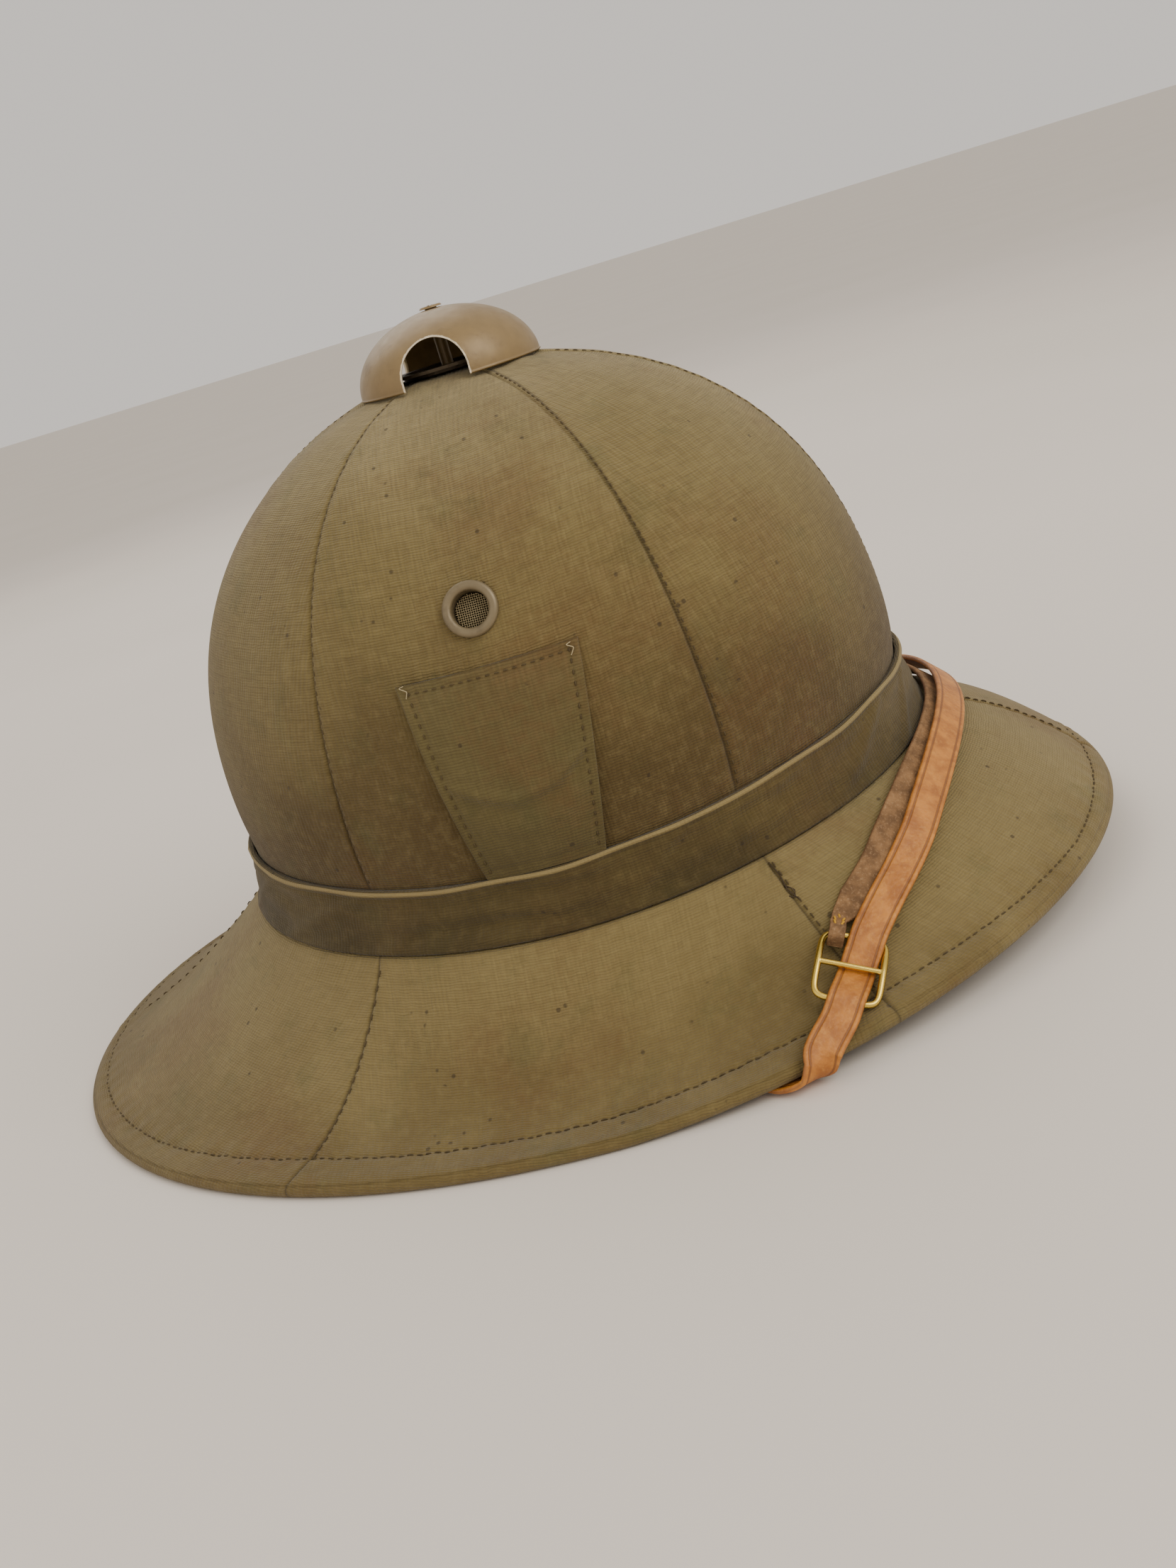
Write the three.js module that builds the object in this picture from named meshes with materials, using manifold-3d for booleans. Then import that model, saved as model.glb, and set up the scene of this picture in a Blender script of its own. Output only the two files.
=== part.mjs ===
// Six-panel cotton-covered pith helmet with a drooping brim, a domed top ventilator, two side vents,
// two sewn patches and a doubled chin strap on two brass slides. Millimetres, +Z up, the front is -Y.
// The helmet rests on its brim at z = 0. Angles run from the front (-Y) towards the wearer's left (+X).
import * as THREE from 'three';
import { mergeVertices } from 'three/addons/utils/BufferGeometryUtils.js';
import Module from 'manifold-3d';

const wasm = await Module();
wasm.setup();

// Crown, measured where it leaves the top edge of the band
const CROWN_HALF_LENGTH = 111;
const CROWN_HALF_WIDTH = 98.5;
const CROWN_RISE = 126.3;
const CROWN_POWER_UP = 2.36;
const CROWN_POWER_IN = 2.09;
const CROWN_LEAN_BACK = 1.7;
const CROWN_WALL = 4.5;
const TOP_HOLE_RADIUS = 15;
const TOP_RING_LEVEL = 0.985;

// Band round the crown's foot
const BAND_TOP_HEIGHT = 65;
const BAND_END_LIFT = 3.9;
const BAND_FRONT_LIFT = 1.8;
const BAND_WIDTH = 19;
const BAND_WIDTH_SWAY = 0.7;
const BAND_FLARE = 3.65;
const BAND_THICKNESS = 1.5;
const BAND_BULGE = 0.3;
const BAND_STEPS = 4;
const COVER_GAP = 0.45;
const FOOT_GAP = 0.3;

// Brim
const BRIM_HALF_LENGTH = 177.7;
const BRIM_HALF_WIDTH = 148.8;
const BRIM_CORNER_POWER = 2.05;
const BRIM_BACK_SHIFT = 11.5;
const BRIM_FRONT_SQUARE = 0.65;
const BRIM_SAG = 5.1;
const BRIM_SAG_FRONT = -5.3;
const BRIM_SAG_ENDS = -5.15;
const BRIM_WALL = 4;
const BRIM_EDGE_HEIGHT = 4;
const BRIM_REST_WIDTH = 3;
const BRIM_REST_INSET = 1;
const FRONT_RISE_START = 5;
const FRONT_RISE_SLOPE = 0.09;
const FRONT_RISE_EASE = 12;

// Side vents and patches
const VENT_ANGLE = 90;
const VENT_LEVEL = 0.553;
const VENT_HOLE_RADIUS = 6.6;
const VENT_DRILL_LENGTH = 30;
const MESH_RADIUS = 4.9;
const MESH_THICKNESS = 0.8;
const MESH_DEPTH = 2.5;
const PATCH = { topHalfAngle: 16, footHalfAngle: 10, topLevel: 0.44, footLevel: 0.012, thickness: 1 };

// Top ventilator
const CAP_RADIUS = 28.5;
const CAP_HEIGHT = 20;
const CAP_SHEET = 0.9;
const CAP_BASE = 189;
const CAP_BACK = 1.3;
const ARCH_HALF_WIDTH = 10;
const ARCH_STRAIGHT = 2.5;
const ARCH_HEIGHT = 12.5;
const ARCH_TURNS = [60, 180, 300];
const ARCH_START = 12;
const SCREW_HOLE_RADIUS = 2.3;
const COLLAR_RADIUS = 14.4;
const COLLAR_SHEET = 0.9;
const COLLAR_TOP = 192.6;
const COLLAR_FOOT = 184;
const COLLAR_FLANGE = 5;
const BRIDGE = { height: 3, width: 7, thickness: 1.2 };
const SCREW = { headRadius: 3.6, crownRadius: 3.2, shaftRadius: 1.9, nutRadius: 3.4, nutHeight: 2.2 };
const SCREW_SEAT_GAP = 0.25;
const NUT_GAP = 0.3;

// Chin strap
const STRAP_WIDTH = 10;
const STRAP_THICKNESS = 1.6;
const LOOP_WIDTH = 4.4;
const LOOP_THICKNESS = 1;
const LOOP_CLEARANCE = 1.9;
const STRAP_STEPS = 110;
const STRAP_INSIDE_ANGLE = 91;
const STRAP_INSIDE_GAP = 3.4;
const STRAP_UNDER_DROP = 1.9;
const BUCKLE_LENGTH = 22;
const BUCKLE_WIDTH = 19;
const WIRE_RADIUS = 0.9;
const BUCKLE = { angle: 57.9, v: 0.68, footAngle: 60.8, footV: 0.82, headAngle: 54.9, headV: 0.567 };

const AROUND = 72;
const RAD = Math.PI / 180;
// The origin is under the middle of the brim's length, so the whole helmet is moved by this much along Y.
const CENTRE_SHIFT = -BRIM_BACK_SHIFT - BRIM_FRONT_SQUARE;

const MATERIALS = {
  cloth: new THREE.MeshStandardMaterial({ color: 0x87734b, roughness: 0.95, metalness: 0 }),
  band: new THREE.MeshStandardMaterial({ color: 0x5f5532, roughness: 0.95, metalness: 0 }),
  paint: new THREE.MeshStandardMaterial({ color: 0x96805c, roughness: 0.55, metalness: 0.2 }),
  wire: new THREE.MeshStandardMaterial({ color: 0x4a443a, roughness: 0.5, metalness: 0.8 }),
  leather: new THREE.MeshStandardMaterial({ color: 0xcd9455, roughness: 0.6, metalness: 0 }),
  suede: new THREE.MeshStandardMaterial({ color: 0xa58264, roughness: 0.9, metalness: 0 }),
  brass: new THREE.MeshStandardMaterial({ color: 0xd8c070, roughness: 0.3, metalness: 1 }),
};

const mix = (a, b, t) => a + (b - a) * t;
const V = (x, y, z) => new THREE.Vector3(x, y, z);

// A point at an angle (degrees), a distance from the axis and a height.
const around = (angle, r, z) => V(r * Math.sin(angle * RAD), -r * Math.cos(angle * RAD), z);

// Radius of a superellipse with its long half-axis along Y.
function oval(halfLength, halfWidth, power, angle) {
  const c = Math.abs(Math.cos(angle * RAD)) / halfLength;
  const s = Math.abs(Math.sin(angle * RAD)) / halfWidth;
  return (c ** power + s ** power) ** (-1 / power);
}

const footRadius = (angle) => oval(CROWN_HALF_LENGTH, CROWN_HALF_WIDTH, 2, angle);

// Height of the band's top edge, which dips at the sides.
function bandTopHeight(angle) {
  const ends = BAND_END_LIFT * Math.cos(2 * angle * RAD);
  return BAND_TOP_HEIGHT + ends + BAND_FRONT_LIFT * Math.cos(angle * RAD);
}

function bandFootHeight(angle) {
  return bandTopHeight(angle) - BAND_WIDTH - BAND_WIDTH_SWAY * Math.cos(2 * angle * RAD);
}

// Outline of the brim seen from above.
function brimRadius(angle) {
  const outline = oval(BRIM_HALF_LENGTH, BRIM_HALF_WIDTH, BRIM_CORNER_POWER, angle);
  return outline - BRIM_BACK_SHIFT * Math.cos(angle * RAD) - BRIM_FRONT_SQUARE * Math.cos(3 * angle * RAD);
}

// Height of the brim's lower edge: flat from the middle to the back, then rising to the front.
function brimRise(angle) {
  const ahead = brimRadius(angle) * Math.cos(angle * RAD) - FRONT_RISE_START;
  return ahead > 0 ? (FRONT_RISE_SLOPE * ahead * ahead) / (ahead + FRONT_RISE_EASE) : 0;
}

// Upper surface of the brim as [radius, height]; v runs from the band's foot (0) to the edge (1).
function brimTop(angle, v) {
  const innerRadius = footRadius(angle) + BAND_FLARE - 0.5;
  const innerHeight = bandFootHeight(angle) - 0.8;
  const outerRadius = brimRadius(angle) - BRIM_REST_INSET;
  const outerHeight = brimRise(angle) + BRIM_EDGE_HEIGHT;
  const sagFront = BRIM_SAG_FRONT * Math.cos(angle * RAD);
  const sag = BRIM_SAG + sagFront + BRIM_SAG_ENDS * Math.cos(2 * angle * RAD);
  return [mix(innerRadius, outerRadius, v), mix(innerHeight, outerHeight, v) - 4 * sag * v * (1 - v)];
}

// Unit normal of the brim's upper surface in the [radius, height] plane.
function brimNormal(angle, v) {
  const a = brimTop(angle, v - 0.01);
  const b = brimTop(angle, v + 0.01);
  const length = Math.hypot(b[0] - a[0], b[1] - a[1]);
  return [(a[1] - b[1]) / length, (b[0] - a[0]) / length];
}

// Outside of the crown as [radius, height]; level runs from the band's top edge (0) to the apex (1).
function crownOutside(angle, level) {
  const shrink = (1 - level ** CROWN_POWER_UP) ** (1 / CROWN_POWER_IN);
  const underBand = (BAND_THICKNESS + COVER_GAP) * (1 - level) ** 12;
  const apex = BAND_TOP_HEIGHT + CROWN_RISE;
  return [footRadius(angle) * shrink - underBand, mix(bandTopHeight(angle), apex, level)];
}

// The profile moved sideways by a distance, in its own plane, to the right of its direction of travel.
function offsetProfile(profile, distance) {
  return profile.map((point, i) => {
    const a = profile[Math.max(i - 1, 0)];
    const b = profile[Math.min(i + 1, profile.length - 1)];
    const length = Math.hypot(b[0] - a[0], b[1] - a[1]);
    const r = point[0] + ((b[1] - a[1]) / length) * distance;
    return [r, point[1] - ((b[0] - a[0]) / length) * distance];
  });
}

// Six times the signed volume inside an indexed mesh.
function signedVolume(positions, index) {
  let total = 0;
  const p = (i) => V(positions[3 * i], positions[3 * i + 1], positions[3 * i + 2]);
  for (let i = 0; i < index.length; i += 3) {
    total += p(index[i]).dot(p(index[i + 1]).cross(p(index[i + 2])));
  }
  return total;
}

// A closed geometry from points and triangles, turned so that its faces point out.
function closedGeometry(points, index) {
  const positions = points.flatMap((p) => [p.x, p.y, p.z]);
  if (signedVolume(positions, index) < 0) {
    index.reverse();
  }
  const geometry = new THREE.BufferGeometry();
  geometry.setAttribute('position', new THREE.Float32BufferAttribute(positions, 3));
  geometry.setIndex(index);
  return geometry;
}

// A solid swept along closed or open rows: every row is a closed loop of points of one length.
function sweptSolid(rows, closed) {
  const n = rows[0].length;
  const index = [];
  const last = closed ? rows.length : rows.length - 1;
  for (let i = 0; i < last; i += 1) {
    const next = (i + 1) % rows.length;
    for (let j = 0; j < n; j += 1) {
      const k = (j + 1) % n;
      index.push(i * n + j, next * n + j, next * n + k, i * n + j, next * n + k, i * n + k);
    }
  }
  if (!closed) {
    const end = (rows.length - 1) * n;
    for (let j = 1; j < n - 1; j += 1) {
      index.push(0, j, j + 1);
      index.push(end, end + j + 1, end + j);
    }
  }
  return closedGeometry(rows.flat(), index);
}

// A ring round the vertical axis from a profile that depends on the angle.
function ringSolid(profileAt, shiftAt = () => 0) {
  const rows = [];
  for (let i = 0; i < AROUND; i += 1) {
    const angle = (360 * i) / AROUND;
    rows.push(profileAt(angle).map(([r, z]) => around(angle, r, z).add(V(0, shiftAt(z), 0))));
  }
  return sweptSolid(rows, true);
}

// How far the crown leans towards the back at a height.
function crownLean(z) {
  const level = Math.max(0, (z - BAND_TOP_HEIGHT) / CROWN_RISE);
  return CROWN_LEAN_BACK * level * level;
}

function toManifold(geometry) {
  const plain = geometry.clone();
  plain.deleteAttribute('normal');
  plain.deleteAttribute('uv');
  const merged = mergeVertices(plain);
  return new wasm.Manifold(
    new wasm.Mesh({
      numProp: 3,
      vertProperties: new Float32Array(merged.attributes.position.array),
      triVerts: new Uint32Array(merged.index.array),
    }),
  );
}

function fromManifold(solid) {
  const mesh = solid.getMesh();
  const geometry = new THREE.BufferGeometry();
  geometry.setAttribute('position', new THREE.BufferAttribute(new Float32Array(mesh.vertProperties), 3));
  geometry.setIndex(new THREE.BufferAttribute(new Uint32Array(mesh.triVerts), 1));
  return geometry;
}

// A turned solid about +Y with its faces pointing out.
function lathe(profile, segments) {
  const geometry = new THREE.LatheGeometry(profile.map(([r, y]) => new THREE.Vector2(r, y)), segments);
  if (signedVolume(geometry.attributes.position.array, geometry.index.array) < 0) {
    geometry.index.array.reverse();
  }
  return geometry;
}

// Turns a geometry whose own axis is +Y to lie along a direction, and moves it to a point.
function aim(geometry, point, direction) {
  const turn = new THREE.Quaternion().setFromUnitVectors(V(0, 1, 0), direction);
  geometry.applyQuaternion(turn);
  geometry.translate(point.x, point.y, point.z);
  return geometry;
}

const helmet = new THREE.Group();
helmet.position.y = CENTRE_SHIFT;

function add(name, geometry, material) {
  const mesh = new THREE.Mesh(geometry, material);
  mesh.name = name;
  helmet.add(mesh);
}

// The band's outer face as [radius, height]; t runs from its top edge (0) to its foot (1).
function bandFace(angle, t) {
  const r = footRadius(angle) + BAND_FLARE * t * t + BAND_BULGE * Math.sin(Math.PI * t);
  return [r, mix(bandTopHeight(angle), bandFootHeight(angle), t)];
}

// Crown: a hollow dome, open at the foot, with the top ventilator's hole and the side vents' holes.
function crownProfile(angle) {
  const cover = BAND_THICKNESS + COVER_GAP;
  const outside = [];
  for (let i = BAND_STEPS; i > 0; i -= 1) {
    const [r, z] = bandFace(angle, i / BAND_STEPS);
    outside.push([r - cover, z - (i === BAND_STEPS ? FOOT_GAP : 0)]);
  }
  const rings = 13;
  for (let i = 0; i <= rings; i += 1) {
    outside.push(crownOutside(angle, TOP_RING_LEVEL * Math.sin((i / rings) * 90 * RAD)));
  }
  outside.push([TOP_HOLE_RADIUS, BAND_TOP_HEIGHT + CROWN_RISE - 0.7]);
  const inside = offsetProfile(outside, -CROWN_WALL);
  inside[0][1] = outside[0][1];
  inside[inside.length - 1] = [TOP_HOLE_RADIUS, BAND_TOP_HEIGHT + CROWN_RISE - CROWN_WALL - 0.7];
  return [...outside, ...inside.reverse()];
}

// Where a side vent sits, and the way it looks out.
function ventPlace(side) {
  const [r, z] = crownOutside(VENT_ANGLE, VENT_LEVEL);
  const low = crownOutside(VENT_ANGLE, VENT_LEVEL - 0.02);
  const high = crownOutside(VENT_ANGLE, VENT_LEVEL + 0.02);
  const out = V((high[1] - low[1]) * side, 0, low[0] - high[0]).normalize();
  return { point: around(VENT_ANGLE * side, r, z).add(V(0, crownLean(z), 0)), out };
}

let crown = toManifold(ringSolid(crownProfile, crownLean));
for (const side of [-1, 1]) {
  const { point, out } = ventPlace(side);
  const drill = new THREE.CylinderGeometry(VENT_HOLE_RADIUS, VENT_HOLE_RADIUS, VENT_DRILL_LENGTH, 24);
  crown = crown.subtract(toManifold(aim(drill, point, out)));
}
add('crown', fromManifold(crown), MATERIALS.cloth);

// Brim: a flared skirt whose lower edge is flattened where the helmet rests.
function brimProfile(angle) {
  const steps = 7;
  const top = [];
  for (let i = 0; i <= steps; i += 1) {
    top.push(brimTop(angle, i / steps));
  }
  const under = [];
  for (const v of [0.88, 0.72, 0.56, 0.4, 0.22, 0.06]) {
    const [r, z] = brimTop(angle, v);
    const [nr, nz] = brimNormal(angle, v);
    under.push([r - BRIM_WALL * nr, z - BRIM_WALL * nz]);
  }
  const rise = brimRise(angle);
  const outer = brimRadius(angle);
  const edge = [
    [outer, rise + BRIM_EDGE_HEIGHT * 0.55],
    [outer - BRIM_REST_INSET, rise],
    [outer - BRIM_REST_INSET - BRIM_REST_WIDTH, rise],
  ];
  const inner = [top[0][0] - BRIM_WALL - 2, top[0][1]];
  return [...top, ...edge, ...under, inner];
}

add('brim', ringSolid(brimProfile), MATERIALS.cloth);

// Band: a cloth strip over the joint of crown and brim.
function bandProfile(angle) {
  const outside = [];
  for (let i = 0; i <= BAND_STEPS; i += 1) {
    outside.push(bandFace(angle, i / BAND_STEPS));
  }
  const inside = outside.map(([r, z]) => [r - BAND_THICKNESS, z]);
  return [...outside, ...inside.reverse()];
}

add('band', ringSolid(bandProfile), MATERIALS.band);

// A point on the crown's outside, lifted off it, at an angle and level.
function onCrown(angle, level, lift) {
  const [r, z] = crownOutside(angle, level);
  const low = crownOutside(angle, Math.max(level - 0.01, 0));
  const high = crownOutside(angle, level + 0.01);
  const length = Math.hypot(high[0] - low[0], high[1] - low[1]);
  const nr = (high[1] - low[1]) / length;
  const nz = (low[0] - high[0]) / length;
  return around(angle, r + nr * lift, z + nz * lift).add(V(0, crownLean(z), 0));
}

// Patch: a thin trapezoid of cloth bent over the side panel, its foot just above the band.
function patchSolid(side) {
  const across = 8;
  const up = 8;
  const rows = [];
  for (let j = 0; j <= up; j += 1) {
    const t = j / up;
    const half = mix(PATCH.footHalfAngle, PATCH.topHalfAngle, t);
    const level = mix(PATCH.footLevel, PATCH.topLevel, t);
    const face = [];
    const back = [];
    for (let i = 0; i <= across; i += 1) {
      const angle = side * (VENT_ANGLE - half + (2 * half * i) / across);
      face.push(onCrown(angle, level, COVER_GAP + PATCH.thickness));
      back.unshift(onCrown(angle, level, COVER_GAP));
    }
    rows.push([...face, ...back]);
  }
  return stripSolid(rows);
}

// A solid from open rows of loops whose two halves face each other, capped by strips at both ends.
function stripSolid(rows) {
  const n = rows[0].length;
  const index = [];
  for (let i = 0; i < rows.length - 1; i += 1) {
    for (let j = 0; j < n; j += 1) {
      const k = (j + 1) % n;
      const a = i * n;
      const b = (i + 1) * n;
      index.push(a + j, b + j, b + k, a + j, b + k, a + k);
    }
  }
  const end = (rows.length - 1) * n;
  for (let j = 0; j < n / 2 - 1; j += 1) {
    const back = n - 1 - j;
    index.push(j, j + 1, back - 1, j, back - 1, back);
    index.push(end + j, end + back - 1, end + j + 1, end + j, end + back, end + back - 1);
  }
  return closedGeometry(rows.flat(), index);
}

// Side vent: a rounded ring with a tube through the wall; the wire mesh is a disc inside the tube.
const VENT_PROFILE = [
  [5.2, 1.7], [5.9, 2.3], [6.8, 2.2], [7.5, 1.5], [7.7, 0.6],
  [6.1, 0.6], [6.1, -6.4], [5.2, -6.4], [5.2, 1.7],
];

for (const [name, side] of [['right', -1], ['left', 1]]) {
  const { point, out } = ventPlace(side);
  add(`side_vent_${name}`, aim(lathe(VENT_PROFILE, 32), point, out), MATERIALS.paint);
  const disc = new THREE.CylinderGeometry(MESH_RADIUS, MESH_RADIUS, MESH_THICKNESS, 24);
  disc.translate(0, -MESH_DEPTH, 0);
  add(`vent_mesh_${name}`, aim(disc, point, out), MATERIALS.wire);
  add(`patch_${name}`, patchSolid(side), MATERIALS.band);
}

// Ventilator cap: a thin dome with three arched cut-outs and a hole for its screw.
function capSolid() {
  const outside = [];
  const steps = 12;
  for (let i = 0; i <= steps; i += 1) {
    const t = (i / steps) * 85.4 * RAD;
    outside.push([CAP_RADIUS * Math.cos(t), CAP_HEIGHT * Math.sin(t)]);
  }
  const inside = offsetProfile(outside, -CAP_SHEET);
  inside[0] = [CAP_RADIUS - CAP_SHEET, 0];
  inside[steps][0] = SCREW_HOLE_RADIUS;
  outside[steps][0] = SCREW_HOLE_RADIUS;
  let cap = toManifold(lathe([...outside, ...inside.reverse(), outside[0]], 48).rotateX(90 * RAD));
  const arch = new THREE.Shape();
  arch.moveTo(-ARCH_HALF_WIDTH, -3);
  arch.lineTo(ARCH_HALF_WIDTH, -3);
  arch.lineTo(ARCH_HALF_WIDTH, ARCH_STRAIGHT);
  arch.absellipse(0, ARCH_STRAIGHT, ARCH_HALF_WIDTH, ARCH_HEIGHT - ARCH_STRAIGHT, 0, Math.PI, false, 0);
  const cutter = new THREE.ExtrudeGeometry(arch, { depth: 30, bevelEnabled: false, curveSegments: 12 });
  cutter.rotateX(90 * RAD).rotateZ(90 * RAD);
  for (const turn of ARCH_TURNS) {
    const cut = cutter.clone().translate(ARCH_START, 0, 0).rotateZ(turn * RAD);
    cap = cap.subtract(toManifold(cut));
  }
  return fromManifold(cap).translate(0, CAP_BACK, CAP_BASE);
}

add('ventilator_cap', capSolid(), MATERIALS.paint);

// Collar: a flanged tube in the crown's top hole with a bridge that carries the cap's screw.
function collarSolid() {
  const inner = COLLAR_RADIUS - COLLAR_SHEET;
  const tube = lathe(
    [
      [inner, COLLAR_FOOT],
      [COLLAR_RADIUS, COLLAR_FOOT],
      [COLLAR_RADIUS, COLLAR_TOP - COLLAR_SHEET],
      [COLLAR_RADIUS + COLLAR_FLANGE, COLLAR_TOP - COLLAR_SHEET],
      [COLLAR_RADIUS + COLLAR_FLANGE, COLLAR_TOP],
      [inner, COLLAR_TOP],
      [inner, COLLAR_FOOT],
    ],
    40,
  ).rotateX(90 * RAD);
  const bridge = new THREE.BoxGeometry(2 * inner + COLLAR_SHEET, BRIDGE.width, BRIDGE.thickness);
  bridge.translate(0, 0, COLLAR_FOOT + BRIDGE.height);
  const hole = new THREE.CylinderGeometry(SCREW_HOLE_RADIUS, SCREW_HOLE_RADIUS, 6, 20).rotateX(90 * RAD);
  hole.translate(0, 0, COLLAR_FOOT + BRIDGE.height);
  const joined = toManifold(tube).add(toManifold(bridge)).subtract(toManifold(hole));
  return fromManifold(joined).translate(0, CAP_BACK, 0);
}

add('ventilator_collar', collarSolid(), MATERIALS.wire);

// Screw: a slotted head on the cap, a shaft down through the bridge and a nut under it.
function screwSolid() {
  const seat = CAP_BASE + CAP_HEIGHT + SCREW_SEAT_GAP;
  const nut = COLLAR_FOOT + BRIDGE.height - BRIDGE.thickness / 2 - NUT_GAP;
  const shaft = lathe(
    [
      [0, nut - SCREW.nutHeight],
      [SCREW.nutRadius, nut - SCREW.nutHeight],
      [SCREW.nutRadius, nut],
      [SCREW.shaftRadius, nut],
      [SCREW.shaftRadius, seat],
      [SCREW.headRadius, seat],
      [SCREW.crownRadius, seat + 0.6],
      [0, seat + 0.9],
    ],
    24,
  ).rotateX(90 * RAD);
  const slot = new THREE.BoxGeometry(9, 0.9, 1).translate(0, 0, seat + 0.9);
  return fromManifold(toManifold(shaft).subtract(toManifold(slot))).translate(0, CAP_BACK, 0);
}

add('ventilator_screw', screwSolid(), MATERIALS.paint);

// A station of a strap: where its middle is and which way its outer face looks.
function overBrim(angle, v, lift, tilt = 0) {
  const [r, z] = brimTop(angle, v);
  const [nr, nz] = brimNormal(angle, v);
  const turned = Math.atan2(nz, nr) - tilt * RAD;
  const normal = around(angle, Math.cos(turned), Math.sin(turned));
  return { point: around(angle, r + nr * lift, z + nz * lift), normal };
}

function underBrim(angle, v, drop) {
  const station = overBrim(angle, v, -BRIM_WALL - drop);
  return { point: station.point, normal: station.normal.negate() };
}

// The buckle's own frame: its middle on the brim, the way up the strap, the way across and the way out.
function buckleFrame(side) {
  const middle = overBrim(side * BUCKLE.angle, BUCKLE.v, 0);
  const foot = overBrim(side * BUCKLE.footAngle, BUCKLE.footV, 0).point;
  const head = overBrim(side * BUCKLE.headAngle, BUCKLE.headV, 0).point;
  const up = head.sub(foot);
  up.addScaledVector(middle.normal, -up.dot(middle.normal)).normalize();
  const across = up.clone().cross(middle.normal).multiplyScalar(side).normalize();
  return { middle: middle.point, up, across, out: middle.normal };
}

// A station at a distance up the strap, across it (towards the crown) and off the brim.
function atBuckle(frame, up, across, lift) {
  const point = frame.middle.clone().addScaledVector(frame.up, up);
  point.addScaledVector(frame.across, across).addScaledVector(frame.out, lift);
  return { point, normal: frame.out.clone() };
}

// From the inside of the crown's foot, under the brim and round its edge to just below the buckle.
function strapTail(side) {
  const stations = [];
  for (const above of [30, 20, 10, 2]) {
    const angle = side * STRAP_INSIDE_ANGLE;
    const z = bandFootHeight(angle) + above;
    const overBand = z - bandTopHeight(angle);
    const level = Math.max(0, overBand / (BAND_TOP_HEIGHT + CROWN_RISE - bandTopHeight(angle)));
    const flare = BAND_FLARE * Math.max(0, 1 - above / BAND_WIDTH);
    const r = crownOutside(angle, level)[0] + flare - CROWN_WALL - STRAP_INSIDE_GAP;
    stations.push({ point: around(angle, r, z), normal: around(angle, -1, 0) });
  }
  for (const { angle, v } of UNDER_RUN) {
    stations.push(underBrim(side * angle, v, STRAP_UNDER_DROP));
  }
  for (const { angle, out, up, face } of EDGE_RUN) {
    const normal = around(side * angle, Math.cos(face * RAD), Math.sin(face * RAD));
    const r = brimRadius(side * angle) + out;
    stations.push({ point: around(side * angle, r, brimRise(side * angle) + up), normal });
  }
  return stations;
}

// The strap's way under the brim, as angle and v of the brim above it.
const UNDER_RUN = [
  { angle: 88, v: 0.1 },
  { angle: 84.4, v: 0.27 },
  { angle: 80, v: 0.46 },
  { angle: 75.8, v: 0.64 },
  { angle: 72, v: 0.8 },
];

// Its way round the edge: distance out from the edge, height over it and the way its outer face looks.
const EDGE_RUN = [
  { angle: 69.5, out: -4.5, up: -1.5, face: -90 },
  { angle: 67.6, out: 0.3, up: -0.7, face: -60 },
  { angle: 66.6, out: 1.9, up: 2, face: -5 },
  { angle: 65.8, out: 1, up: 5.2, face: 50 },
];

// The run from above one buckle round the front to above the other, as angle, v, lift and tilt.
const OUTER_RUN = [
  { angle: 48.3, v: 0.525, lift: 7.7, tilt: 0 },
  { angle: 44, v: 0.44, lift: 6.5, tilt: 0 },
  { angle: 39, v: 0.365, lift: 6.1, tilt: 4 },
  { angle: 33, v: 0.285, lift: 6.1, tilt: 10 },
  { angle: 25.8, v: 0.215, lift: 6.5, tilt: 20 },
  { angle: 17, v: 0.165, lift: 7.2, tilt: 32 },
  { angle: 8, v: 0.145, lift: 7.8, tilt: 40 },
  { angle: 0, v: 0.14, lift: 8, tilt: 42 },
];
const INNER_RUN = [
  { angle: 50.4, v: 0.462, lift: 3.5, tilt: 0 },
  { angle: 45.7, v: 0.39, lift: 3.7, tilt: 0 },
  { angle: 40.8, v: 0.31, lift: 3.4, tilt: 4 },
  { angle: 34.8, v: 0.235, lift: 3.5, tilt: 10 },
  { angle: 27.4, v: 0.165, lift: 4.1, tilt: 20 },
  { angle: 18, v: 0.118, lift: 5, tilt: 32 },
  { angle: 8, v: 0.1, lift: 5.6, tilt: 40 },
  { angle: 0, v: 0.095, lift: 5.8, tilt: 42 },
];

function frontRun(table) {
  const right = table.map((s) => overBrim(-s.angle, s.v, s.lift, s.tilt));
  const left = table.slice(0, -1).reverse().map((s) => overBrim(s.angle, s.v, s.lift, s.tilt));
  return [...right, ...left];
}

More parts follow.
